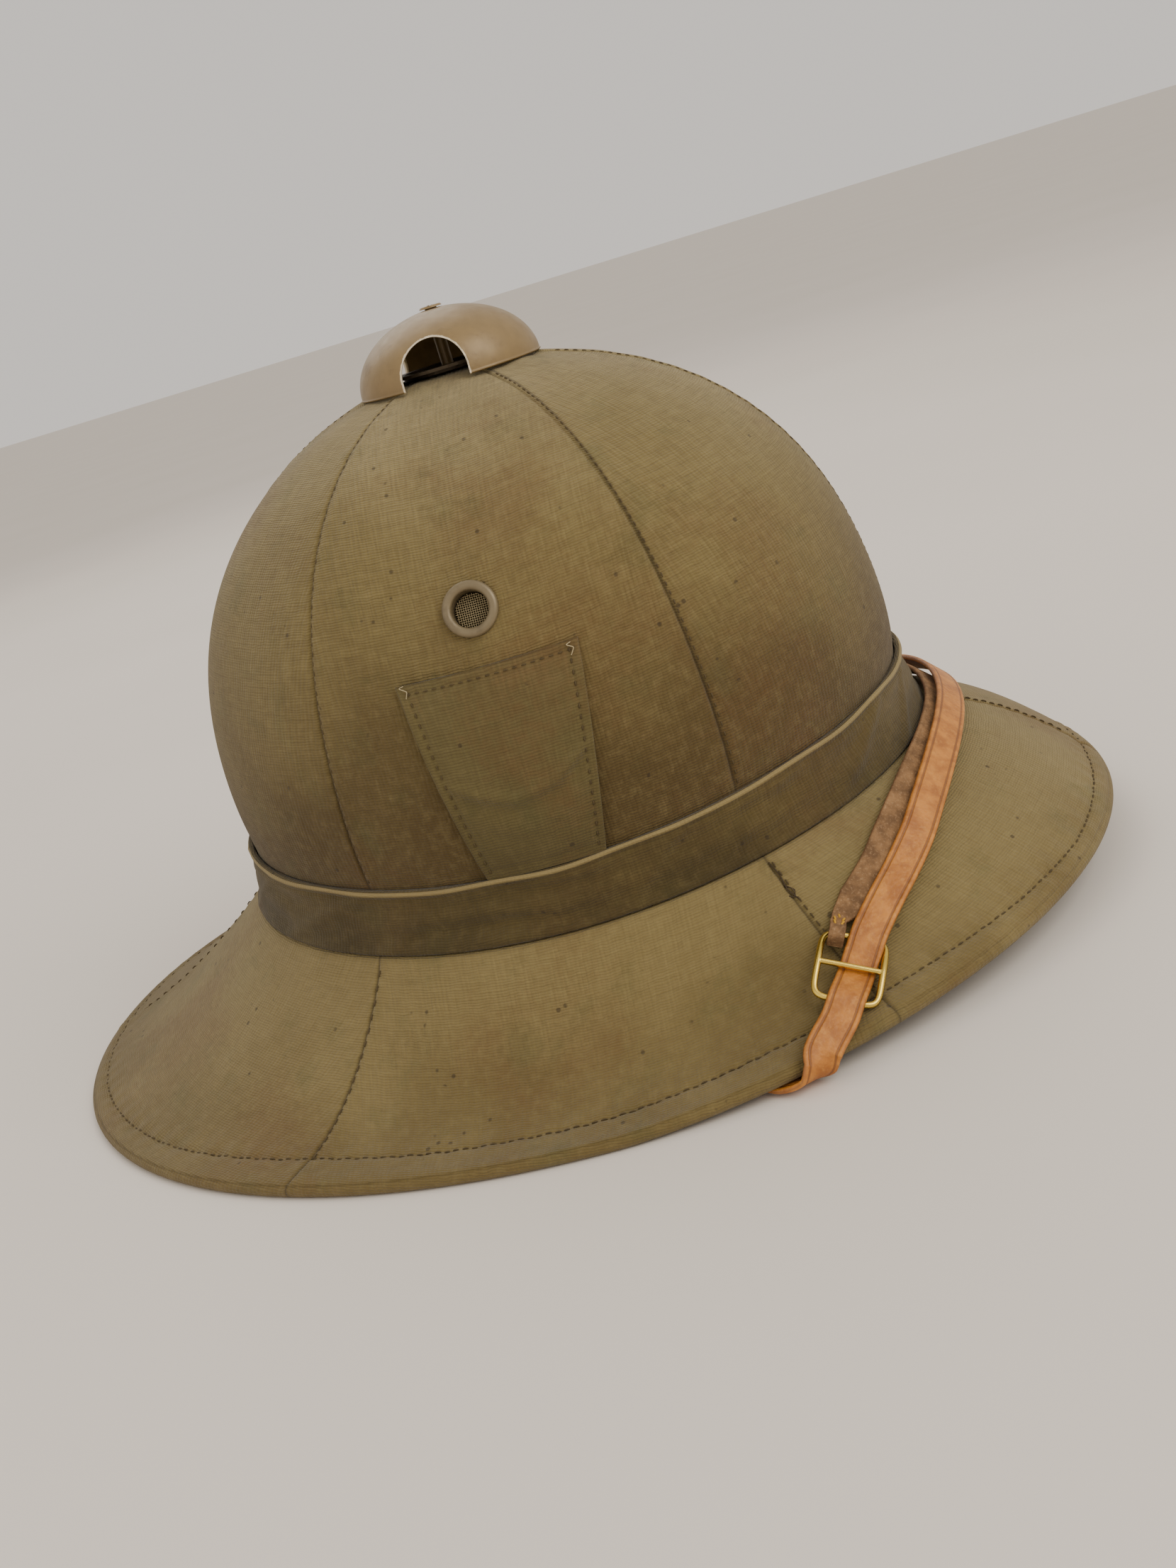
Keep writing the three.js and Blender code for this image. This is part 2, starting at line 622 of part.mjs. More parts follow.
// A flat strip along stations, resampled to even steps, with its own width and thickness at each station.
function strapSolid(stations) {
  const path = new THREE.CatmullRomCurve3(stations.map((s) => s.point), false, 'centripetal');
  const points = [];
  const normals = [];
  const sizes = [];
  for (let i = 0; i <= STRAP_STEPS; i += 1) {
    const t = i / STRAP_STEPS;
    const x = t * (stations.length - 1);
    const k = Math.min(Math.floor(x), stations.length - 2);
    points.push(path.getPoint(t));
    normals.push(stations[k].normal.clone().lerp(stations[k + 1].normal, x - k).normalize());
    sizes.push([
      mix(stations[k].width ?? STRAP_WIDTH, stations[k + 1].width ?? STRAP_WIDTH, x - k),
      mix(stations[k].thickness ?? STRAP_THICKNESS, stations[k + 1].thickness ?? STRAP_THICKNESS, x - k),
    ]);
  }
  const rows = points.map((point, i) => {
    const along = points[Math.min(i + 1, STRAP_STEPS)].clone().sub(points[Math.max(i - 1, 0)]).normalize();
    const across = normals[i].clone().cross(along).normalize();
    const out = along.clone().cross(across).normalize();
    const [width, thickness] = sizes[i];
    const corner = (a, b) =>
      point.clone().addScaledVector(across, (a * width) / 2).addScaledVector(out, (b * thickness) / 2);
    return [corner(-1, -1), corner(1, -1), corner(1, 1), corner(-1, 1)];
  });
  return sweptSolid(rows, false);
}

// The end of a strap sewn round a buckle's head bar: it narrows, climbs onto the bar and folds over it.
function sewnEnd(frame, across, barHeight) {
  const half = BUCKLE_LENGTH / 2 - WIRE_RADIUS;
  const reach = WIRE_RADIUS + LOOP_CLEARANCE + LOOP_THICKNESS / 2;
  const down = frame.up.clone().negate();
  return [
    { up: half + 4, lift: barHeight + reach * 0.42, normal: frame.out },
    { up: half, lift: barHeight + reach, normal: frame.out },
    {
      up: half - reach * 0.85,
      lift: barHeight + reach * 0.85,
      normal: frame.out.clone().add(down).normalize(),
    },
    { up: half - reach * 1.1, lift: barHeight - 0.4, normal: down },
  ].map(({ up, lift, normal }) => ({
    point: atBuckle(frame, up, across, lift).point,
    normal: normal.clone(),
    width: LOOP_WIDTH,
    thickness: LOOP_THICKNESS,
  }));
}

// Heights of the bars over the brim's middle under each buckle.
const HEAD_BAR = { right: 3.9, left: 5.9 };
const FOOT_BAR = { right: 2.4, left: 5.4 };
const CENTRE_BAR = { right: 4.3, left: 2.4 };

// Outer strap: over, under and over the right buckle's bars, round the front, sewn to the left buckle.
function outerStrap() {
  const through = [
    [-15.5, -0.6, 3.2], [-10.1, -1.2, 4.4], [-5, -1.8, 3.2], [0, -2.2, 2.2],
    [5, -2.4, 4.2], [10.1, -2.5, 6.1], [16, -3.2, 8.3],
  ].map(([up, across, lift]) => atBuckle(buckleFrame(-1), up, across, lift));
  const end = sewnEnd(buckleFrame(1), -5.2, HEAD_BAR.left);
  return strapSolid([...strapTail(-1), ...through, ...frontRun(OUTER_RUN), ...end]);
}

// Inner strap: the same route from the left, under the outer strap and a little nearer the crown.
function innerStrap() {
  const through = [
    [-15.5, 0.2, 3.4], [-10.1, 1.2, 3.2], [-5, 1.8, 3.6], [0, 2.2, 4.6],
    [5, 2.4, 3.9], [10.1, 2.5, 3.4], [16, 3.4, 4],
  ].map(([up, across, lift]) => atBuckle(buckleFrame(1), up, across, lift));
  const end = sewnEnd(buckleFrame(-1), 5.4, HEAD_BAR.right);
  return strapSolid([...strapTail(1), ...through, ...frontRun(INNER_RUN).reverse(), ...end]);
}

add('strap_outer', outerStrap(), MATERIALS.leather);
add('strap_inner', innerStrap(), MATERIALS.suede);

// A round wire through points; a closed wire joins its last point to its first.
function wireSolid(points, closed) {
  const rows = points.map((point, i) => {
    const n = points.length;
    const before = closed ? points[(i + n - 1) % n] : points[Math.max(i - 1, 0)];
    const after = closed ? points[(i + 1) % n] : points[Math.min(i + 1, n - 1)];
    const along = after.clone().sub(before).normalize();
    const side = V(0, 0, 1).cross(along).normalize();
    const other = along.clone().cross(side);
    const ring = [];
    for (let k = 0; k < 8; k += 1) {
      const turn = k * 45 * RAD;
      ring.push(
        point.clone()
          .addScaledVector(side, WIRE_RADIUS * Math.cos(turn))
          .addScaledVector(other, WIRE_RADIUS * Math.sin(turn)),
      );
    }
    return ring;
  });
  return sweptSolid(rows, closed);
}

// Buckle: a rounded rectangle of wire with a centre bar; the rails bow to carry the bar at its own height.
function buckleSolid(side, name) {
  const frame = buckleFrame(side);
  const halfLength = BUCKLE_LENGTH / 2 - WIRE_RADIUS;
  const halfWidth = BUCKLE_WIDTH / 2 - WIRE_RADIUS;
  const height = (up) => {
    const plane = mix(FOOT_BAR[name], HEAD_BAR[name], (up / halfLength + 1) / 2);
    const bow = CENTRE_BAR[name] - (FOOT_BAR[name] + HEAD_BAR[name]) / 2;
    return plane + bow * Math.cos((up / halfLength) * 90 * RAD) ** 2;
  };
  const loop = [];
  for (let i = 0; i < 48; i += 1) {
    const turn = (i / 48) * 2 * Math.PI;
    const c = Math.cos(turn);
    const s = Math.sin(turn);
    const reach = (Math.abs(c) ** 6 + Math.abs(s) ** 6) ** (-1 / 6);
    const up = halfLength * c * reach;
    loop.push(atBuckle(frame, up, halfWidth * s * reach, height(up)).point);
  }
  const bar = [-1, -0.33, 0.33, 1].map((t) => atBuckle(frame, 0, halfWidth * t, height(0)).point);
  return fromManifold(toManifold(wireSolid(loop, true)).add(toManifold(wireSolid(bar, false))));
}

add('buckle_right', buckleSolid(-1, 'right'), MATERIALS.brass);
add('buckle_left', buckleSolid(1, 'left'), MATERIALS.brass);

export default helmet;
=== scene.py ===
"""A six-panel cotton-covered pith helmet dressed for close viewing.

Shape functions work in millimetres and whole numpy arrays; meshes are made in metres, in the frame of the CAD model.
Angles are in degrees from the front (-Y) towards the wearer's left (+X).
"""

import logging
from dataclasses import dataclass
from enum import Enum

import bpy
import numpy as np
from mathutils import Matrix


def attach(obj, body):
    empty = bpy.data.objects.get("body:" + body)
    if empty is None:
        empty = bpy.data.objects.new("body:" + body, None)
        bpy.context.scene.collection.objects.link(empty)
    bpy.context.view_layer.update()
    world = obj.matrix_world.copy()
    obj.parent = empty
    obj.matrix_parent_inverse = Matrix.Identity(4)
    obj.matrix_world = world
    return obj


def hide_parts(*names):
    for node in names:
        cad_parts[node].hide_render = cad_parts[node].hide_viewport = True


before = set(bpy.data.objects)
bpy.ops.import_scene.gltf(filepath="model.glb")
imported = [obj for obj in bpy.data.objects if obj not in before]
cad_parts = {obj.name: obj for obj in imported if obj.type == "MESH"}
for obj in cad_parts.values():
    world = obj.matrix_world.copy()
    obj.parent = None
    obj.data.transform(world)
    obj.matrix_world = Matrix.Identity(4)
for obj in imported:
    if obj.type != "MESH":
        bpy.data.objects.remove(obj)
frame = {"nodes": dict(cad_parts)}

Array = np.ndarray
Rgb = tuple[float, float, float]
LOG = logging.getLogger("helmet")
MM = 0.001
ROOT = "root"
CENTRE_SHIFT = -12.15
SEAMS = np.array([0.0, 57.0, 123.0, 180.0, 237.0, 303.0])
COLUMNS_PER_PANEL = 108


class Side(Enum):
    """The wearer's side that a paired piece belongs to; the value is the sign of X."""

    RIGHT = -1
    LEFT = 1

    @property
    def label(self) -> str:
        """The side as the word used in node names."""
        return self.name.lower()


def smooth_bell(x: Array, width: float) -> Array:
    """A bell curve exp(-(x / width)^2), one at x = 0."""
    return np.exp(-((x / width) ** 2))


def mix(a: Array, b: Array, t: Array) -> Array:
    """Straight blend from a (t = 0) to b (t = 1)."""
    return a + (b - a) * t


def unit(v: Array) -> Array:
    """Vectors along the last axis scaled to length one."""
    return v / np.maximum(np.linalg.norm(v, axis=-1, keepdims=True), 1e-9)


def around(angle: Array, r: Array, z: Array) -> Array:
    """Point (r sin a, -r cos a, z) before the shift to the helmet's centre."""
    a = np.radians(angle)
    angle, r, z = np.broadcast_arrays(a, r, z)
    return np.stack([r * np.sin(angle), -r * np.cos(angle), z], axis=-1).astype(float)


def ripple(a: Array, t: Array, seed: int, count: int = 7, finest: int = 11) -> Array:
    """Smooth uneven surface between about -1 and 1: a sum of sines in angle and height.

    Args:
        a: Angles in degrees, any shape that broadcasts with t.
        t: Second parameter, about 0 to 1.
        seed: Number that fixes the pattern.
        count: How many sines are summed.
        finest: Largest number of waves round the helmet.

    Returns:
        The sum, divided by the root of the count.
    """
    rng = np.random.default_rng(seed)
    waves = rng.integers(1, finest, count)
    ups = rng.uniform(-9, 9, count)
    phases = rng.uniform(0, 2 * np.pi, count)
    total = 0
    for wave, up, phase in zip(waves, ups, phases):
        total = total + np.sin(np.radians(a) * wave + up * t + phase)
    return total / np.sqrt(count)


@dataclass(frozen=True)
class HelmetShape:
    """The sizes shared by crown, band, brim and everything that lies on them (millimetres)."""

    crown_half_length: float = 111.0
    crown_half_width: float = 98.5
    crown_rise: float = 126.3
    power_up: float = 2.36
    power_in: float = 2.09
    lean_back: float = 1.7
    wall: float = 4.5
    top_hole: float = 15.0
    band_top_z: float = 65.0
    band_width: float = 19.0
    band_flare: float = 3.65
    band_thickness: float = 1.5
    cover_gap: float = 0.45
    brim_half_length: float = 177.7
    brim_half_width: float = 148.8
    brim_wall: float = 4.0

    def oval(self, angle: Array, half_length: float, half_width: float, power: float) -> Array:
        """Radius of the superellipse |y/L|^p + |x/W|^p = 1 at an angle."""
        c = np.abs(np.cos(np.radians(angle))) / half_length
        s = np.abs(np.sin(np.radians(angle))) / half_width
        return (c**power + s**power) ** (-1 / power)

    def foot_radius(self, angle: Array) -> Array:
        """Radius of the crown where it leaves the band."""
        return self.oval(angle, self.crown_half_length, self.crown_half_width, 2.0)

    def band_top(self, angle: Array) -> Array:
        """Height of the band's top edge: 65 + 3.9 cos 2a + 1.8 cos a."""
        a = np.radians(angle)
        return self.band_top_z + 3.9 * np.cos(2 * a) + 1.8 * np.cos(a)

    def band_foot(self, angle: Array) -> Array:
        """Height of the band's foot: its top less 19 + 0.7 cos 2a."""
        return self.band_top(angle) - self.band_width - 0.7 * np.cos(2 * np.radians(angle))

    def band_face(self, angle: Array, t: Array) -> tuple[Array, Array]:
        """Radius and height of the band's face: foot radius + 3.65 t^2 + 0.3 sin(pi t), top (t = 0) to foot (1)."""
        r = self.foot_radius(angle) + self.band_flare * t * t + 0.3 * np.sin(np.pi * t)
        return r, mix(self.band_top(angle), self.band_foot(angle), t)

    def crown_outside(self, angle: Array, level: Array) -> tuple[Array, Array]:
        """Radius and height of the dome: foot radius (1 - level^2.36)^(1/2.09), drawn in a little under the band."""
        shrink = (1 - np.clip(level, 0, 1) ** self.power_up) ** (1 / self.power_in)
        under = (self.band_thickness + self.cover_gap) * (1 - level) ** 12
        z = mix(self.band_top(angle), self.band_top_z + self.crown_rise, level)
        return self.foot_radius(angle) * shrink - under, z

    def lean(self, z: Array) -> Array:
        """How far back the crown leans at a height: 1.7 level^2."""
        level = np.maximum(0, (z - self.band_top_z) / self.crown_rise)
        return self.lean_back * level * level

    def on_crown(self, angle: Array, level: Array, lift: Array) -> Array:
        """Points lifted off the dome along its normal."""
        r, z = self.crown_outside(angle, level)
        low = self.crown_outside(angle, np.maximum(level - 0.01, 0))
        high = self.crown_outside(angle, level + 0.01)
        length = np.hypot(high[0] - low[0], high[1] - low[1])
        nr, nz = (high[1] - low[1]) / length, (low[0] - high[0]) / length
        p = around(angle, r + nr * lift, z + nz * lift)
        p[..., 1] += self.lean(z)
        return p

    def brim_radius(self, angle: Array) -> Array:
        """Outline of the brim from above: its oval less 11.5 cos a + 0.65 cos 3a."""
        a = np.radians(angle)
        outline = self.oval(angle, self.brim_half_length, self.brim_half_width, 2.05)
        return outline - 11.5 * np.cos(a) - 0.65 * np.cos(3 * a)

    def brim_rise(self, angle: Array) -> Array:
        """Height of the brim's lower edge: flat behind the middle, then 0.09 x^2 / (x + 12) towards the front."""
        ahead = np.maximum(self.brim_radius(angle) * np.cos(np.radians(angle)) - 5, 0)
        return 0.09 * ahead * ahead / (ahead + 12)

    def brim_top(self, angle: Array, v: Array) -> tuple[Array, Array]:
        """Radius and height of the brim's upper face: a straight slope less 4 sag v (1 - v)."""
        a = np.radians(angle)
        sag = 5.1 - 5.3 * np.cos(a) - 5.15 * np.cos(2 * a)
        r = mix(self.foot_radius(angle) + self.band_flare - 0.5, self.brim_radius(angle) - 1, v)
        z = mix(self.band_foot(angle) - 0.8, self.brim_rise(angle) + 4, v)
        return r, z - 4 * sag * v * (1 - v)

    def brim_normal(self, angle: Array, v: Array) -> tuple[Array, Array]:
        """Unit normal of the upper face in the plane of radius and height."""
        a, b = self.brim_top(angle, v - 0.01), self.brim_top(angle, v + 0.01)
        length = np.hypot(b[0] - a[0], b[1] - a[1])
        return (a[1] - b[1]) / length, (b[0] - a[0]) / length

    def on_brim(self, angle: Array, v: Array, lift: Array) -> Array:
        """Points lifted off the brim's upper face along its normal."""
        r, z = self.brim_top(angle, v)
        nr, nz = self.brim_normal(angle, v)
        return around(angle, r + nr * lift, z + nz * lift)


SHAPE = HelmetShape()


def ring_angles() -> Array:
    """Angles of a ring's columns as one column array: even over each panel, and crowded at its two seams."""
    near = np.array([0.0, 0.14, 0.3, 0.5, 0.8])
    ends = np.append(SEAMS[1:], 360.0)
    parts = [
        np.concatenate([low + near, np.linspace(low + 1.2, high - 1.2, COLUMNS_PER_PANEL), high - near[:0:-1]])
        for low, high in zip(SEAMS, ends)
    ]
    return np.concatenate(parts)[:, None]


def seam_offset(angle: Array) -> Array:
    """Signed degrees from each angle to the nearest panel seam."""
    diff = (angle[..., None] - SEAMS + 180) % 360 - 180
    nearest = np.abs(diff).argmin(axis=-1)
    return np.take_along_axis(diff, nearest[..., None], axis=-1)[..., 0]


def seam_relief(angle: Array, r: Array, along: Array) -> Array:
    """Height of the sewn seams: a thin groove, a soft ridge each side of it, and small puckers along it.

    Args:
        angle: Angles in degrees, shape (n, 1).
        r: Distance from the axis.
        along: Distance along the seam.

    Returns:
        The relief in millimetres.
    """
    offset = np.radians(seam_offset(angle)) * r
    d = np.abs(offset)
    ridge = 0.28 * smooth_bell(offset - 2.4, 2.0)
    pucker = 0.1 * np.sin(along * 2 * np.pi / 5.5) * smooth_bell(d - 1.5, 2.4)
    return ridge - 0.55 * smooth_bell(d, 0.5) + pucker


def mark_seams(piece: bpy.types.Object) -> None:
    """Writes a `seam` attribute that is one on the seam lines, exp(-(d / 0.36 mm)^2) beside them."""
    p = read_points(piece)
    angle = np.degrees(np.arctan2(p[:, 0], -p[:, 1]))
    d = np.radians(seam_offset(angle)) * np.hypot(p[:, 0], p[:, 1])
    write_attribute(piece, "seam", smooth_bell(d, 0.36))


class MeshMaker:
    """Turns grids of points in millimetres into mesh objects in metres."""

    @staticmethod
    def outward(points: Array, faces: Array) -> bool:
        """Whether a closed shell's faces point out, from the sign of its volume."""
        a, b, c, d = (points[faces[:, k]] for k in range(4))
        volume = np.einsum("ij,ij->i", a, np.cross(b, c)) + np.einsum("ij,ij->i", a, np.cross(c, d))
        return float(volume.sum()) > 0

    @classmethod
    def grid(cls, name: str, points: Array, uv: Array, wrap: tuple[bool, bool], capped: bool = False) -> bpy.types.Object:
        """A quad mesh from a grid of points.

        Args:
            name: Piece name.
            points: Grid of shape (n, m, 3) in millimetres, before the shift to the helmet's centre.
            uv: Map coordinates in metres, shape (n + 1, m + 1, 2), or per face corner (rows, columns, 4, 2).
            wrap: Whether rows and columns close on themselves.
            capped: Whether the first and last rows are closed with a face.

        Returns:
            The new object, with smooth faces pointing outwards.
        """
        n, m = points.shape[:2]
        rows, cols = (n if wrap[0] else n - 1), (m if wrap[1] else m - 1)
        i, j = np.meshgrid(np.arange(rows), np.arange(cols), indexing="ij")
        i2, j2 = (i + 1) % n, (j + 1) % m
        faces = np.stack([i * m + j, i2 * m + j, i2 * m + j2, i * m + j2], axis=-1).reshape(-1, 4)
        if uv.ndim == 3:
            uv = np.stack([uv[i, j], uv[i + 1, j], uv[i + 1, j + 1], uv[i, j + 1]], axis=2)
        corner_uv = uv.reshape(-1, 4, 2)
        flat = (points.reshape(-1, 3) + np.array([0, CENTRE_SHIFT, 0])) * MM
        if not cls.outward(flat, faces):
            faces, corner_uv = faces[:, ::-1], corner_uv[:, ::-1]
        polygons = faces.tolist()
        if capped:
            first, last = list(range(m)), list(range((n - 1) * m, n * m))
            turned = faces[0].tolist().index(0) < faces[0].tolist().index(m) if m in faces[0] else True
            polygons += [first[::-1], last] if turned else [first, last[::-1]]
        return cls.build(name, flat, polygons, corner_uv.reshape(-1, 2))

    @staticmethod
    def build(name: str, points: Array, polygons: list, uv: Array | None = None) -> bpy.types.Object:
        """An object from points in metres, polygons and map coordinates for the first corners."""
        mesh = bpy.data.meshes.new(name)
        mesh.from_pydata(points.tolist(), [], polygons)
        if uv is not None:
            layer = mesh.uv_layers.new(name="UVMap")
            values = np.zeros((len(mesh.loops), 2), np.float32)
            values[: len(uv)] = uv
            layer.data.foreach_set("uv", values.ravel())
        mesh.polygons.foreach_set("use_smooth", np.ones(len(mesh.polygons), bool))
        mesh.update()
        mesh.validate()
        piece = bpy.data.objects.new(name, mesh)
        bpy.context.scene.collection.objects.link(piece)
        return piece

    @classmethod
    def ring(cls, name: str, angle: Array, r: Array, z: Array, panelled: bool) -> bpy.types.Object:
        """A closed ring round the axis from a closed profile at each angle.

        The map runs across each panel as r sin(a - panel centre), or round the whole ring, and along the profile's
        arc length, so that the weave keeps its size.
        """
        points = around(angle, r, z)
        points[..., 1] += SHAPE.lean(z)
        j2 = (np.arange(r.shape[1]) + 1) % r.shape[1]
        length = np.hypot(r[:, j2] - r, z[:, j2] - z)
        s = np.concatenate([np.zeros((len(r), 1)), np.cumsum(length, axis=1)], axis=1)
        a = angle[:, 0]
        a_next = np.append(a[1:], 360.0)
        if panelled:
            which = np.searchsorted(SEAMS, (a + a_next) / 2, side="right") - 1
            centre = (SEAMS[which] + np.append(SEAMS, 360.0)[which + 1]) / 2
        else:
            centre = np.zeros_like(a)
        low, high = np.radians(a - centre)[:, None], np.radians(a_next - centre)[:, None]
        size = (lambda x, q: q * np.sin(x)) if panelled else (lambda x, q: 105 * x + 0 * q)
        nxt = np.roll(r, -1, axis=0)
        s2 = np.roll(s, -1, axis=0)
        u = np.stack([size(low, r), size(high, nxt), size(high, nxt[:, j2]), size(low, r[:, j2])], axis=-1)
        v = np.stack([s[:, :-1], s2[:, :-1], s2[:, 1:], s[:, 1:]], axis=-1)
        return cls.grid(name, points, np.stack([u, v], axis=-1) * MM, (True, True))

    @classmethod
    def tube(cls, name: str, path: Array, radius: Array, out: Array, closed: bool, sides: int = 16) -> bpy.types.Object:
        """A round wire: circles of the given radius across the path, turned so that one axis follows `out`."""
        ahead = np.roll(path, -1, axis=0) if closed else np.vstack([path[1:], path[-1:]])
        behind = np.roll(path, 1, axis=0) if closed else np.vstack([path[:1], path[:-1]])
        along = unit(ahead - behind)
        side = unit(np.cross(along, out))
        other = np.cross(side, along)
        turn = np.linspace(0, 2 * np.pi, sides, endpoint=False)
        radius = np.broadcast_to(radius, len(path))[:, None, None]
        ring = side[:, None] * np.cos(turn)[None, :, None] + other[:, None] * np.sin(turn)[None, :, None]
        points = path[:, None] + radius * ring
        i, j = np.meshgrid(np.arange(len(path) + 1), np.arange(sides + 1), indexing="ij")
        return cls.grid(name, points, np.stack([i, j], axis=-1) * 0.001, (closed, True), capped=not closed)

    @classmethod
    def turned(cls, name: str, profile: Array, place: Array, axis: Array, segments: int) -> bpy.types.Object:
        """A closed profile of (radius, height) turned about an axis that stands at a point."""
        axis = unit(axis)
        side = unit(np.cross(axis, np.array([0.0, 0.3, 1.0]) if abs(axis[2]) < 0.9 else np.array([1.0, 0, 0])))
        other = np.cross(axis, side)
        turn = np.linspace(0, 2 * np.pi, segments, endpoint=False)[:, None, None]
        r, h = profile[None, :, 0, None], profile[None, :, 1, None]
        points = place + r * (side * np.cos(turn) + other * np.sin(turn)) + h * axis
        i, j = np.meshgrid(np.arange(segments + 1), np.arange(len(profile) + 1), indexing="ij")
        return cls.grid(name, points, np.stack([i, j], axis=-1) * 0.001, (True, True))

    @classmethod
    def stitches(cls, name: str, at: Array, along: Array, out: Array, size: tuple[float, float]) -> bpy.types.Object:
        """Many short stitches, each a six-sided bead that dives into the cloth at both ends.

        Args:
            name: Piece name.
            at: Middle of each stitch, shape (k, 3), millimetres.
            along: Direction of each stitch.
            out: Direction away from the cloth.
            size: Length and radius of a stitch.

        Returns:
            One object with all the stitches.
        """
        place = np.array([-0.5, -0.36, -0.12, 0.12, 0.36, 0.5]) * size[0]
        thick = np.array([0.25, 0.85, 1.0, 1.0, 0.85, 0.25]) * size[1]
        lift = np.array([-0.9, 0.1, 0.45, 0.45, 0.1, -0.9]) * size[1]
        turn = np.linspace(0, 2 * np.pi, 6, endpoint=False)
        along, out = unit(along), unit(out)
        side = np.cross(along, out)
        ring_side = side[:, None, None] * (thick[:, None] * np.cos(turn))[None, ..., None]
        ring_out = out[:, None, None] * (thick[:, None] * np.sin(turn) + lift[:, None])[None, ..., None]
        points = at[:, None, None] + along[:, None, None] * place[None, :, None, None] + ring_side + ring_out
        i, j = np.meshgrid(np.arange(5), np.arange(6), indexing="ij")
        quad = np.stack([i * 6 + j, (i + 1) * 6 + j, (i + 1) * 6 + (j + 1) % 6, i * 6 + (j + 1) % 6], -1).reshape(-1, 4)
        probe = points[0].reshape(-1, 3)
        quad = quad if cls.outward(probe - probe.mean(axis=0), quad) else quad[:, ::-1]
        start = (np.arange(len(at)) * 36)[:, None, None]
        flat = (points.reshape(-1, 3) + np.array([0, CENTRE_SHIFT, 0])) * MM
        return cls.build(name, flat, (quad[None] + start).reshape(-1, 4).tolist())


class Nodes:
    """A small writer of shader nodes."""

    def __init__(self, tree: bpy.types.NodeTree) -> None:
        """Takes the node tree that it writes into."""
        self.tree = tree

    def add(self, kind: str, inputs: dict | None = None, **settings: object) -> bpy.types.Node:
        """Adds a node, sets its properties and fills its inputs with constants or links."""
        node = self.tree.nodes.new(kind)
        for key, value in settings.items():
            setattr(node, key, value)
        for key, value in (inputs or {}).items():
            if isinstance(value, bpy.types.NodeSocket):
                self.tree.links.new(value, node.inputs[key])
            else:
                node.inputs[key].default_value = value
        return node

    def math(self, operation: str, a: object, b: object = 0.0, clamp: bool = False) -> bpy.types.NodeSocket:
        """The result of one arithmetic operation."""
        return self.add("ShaderNodeMath", {0: a, 1: b}, operation=operation, use_clamp=clamp).outputs[0]

    def blend(self, factor: object, a: object, b: object, how: str = "MIX") -> bpy.types.NodeSocket:
        """A colour blended from a to b."""
        inputs = {0: factor, 6: a, 7: b}
        return self.add("ShaderNodeMix", inputs, data_type="RGBA", blend_type=how).outputs[2]

    def noise(self, vector: object, scale: float, detail: float = 4.0, rough: float = 0.5) -> bpy.types.NodeSocket:
        """Noise between 0 and 1."""
        inputs = {"Vector": vector, "Scale": scale, "Detail": detail, "Roughness": rough}
        return self.add("ShaderNodeTexNoise", inputs).outputs["Fac"]

    def band(self, value: object, low: float, high: float) -> bpy.types.NodeSocket:
        """A value that climbs smoothly from 0 at low to 1 at high."""
        inputs = {"Value": value, "From Min": low, "From Max": high}
        return self.add("ShaderNodeMapRange", inputs, interpolation_type="SMOOTHSTEP").outputs["Result"]

    def group(self, tree: bpy.types.NodeTree, inputs: dict) -> bpy.types.Node:
        """Places a node group and fills its inputs."""
        node = self.add("ShaderNodeGroup")
        node.node_tree = tree
        for key, value in inputs.items():
            if isinstance(value, bpy.types.NodeSocket):
                self.tree.links.new(value, node.inputs[key])
            else:
                node.inputs[key].default_value = value
        return node


def linear(red: int, green: int, blue: int) -> tuple[float, float, float, float]:
    """A display colour of 0 to 255 as a linear one with alpha."""
    c = np.array([red, green, blue]) / 255
    value = np.where(c <= 0.04045, c / 12.92, ((c + 0.055) / 1.055) ** 2.4)
    return (float(value[0]), float(value[1]), float(value[2]), 1.0)


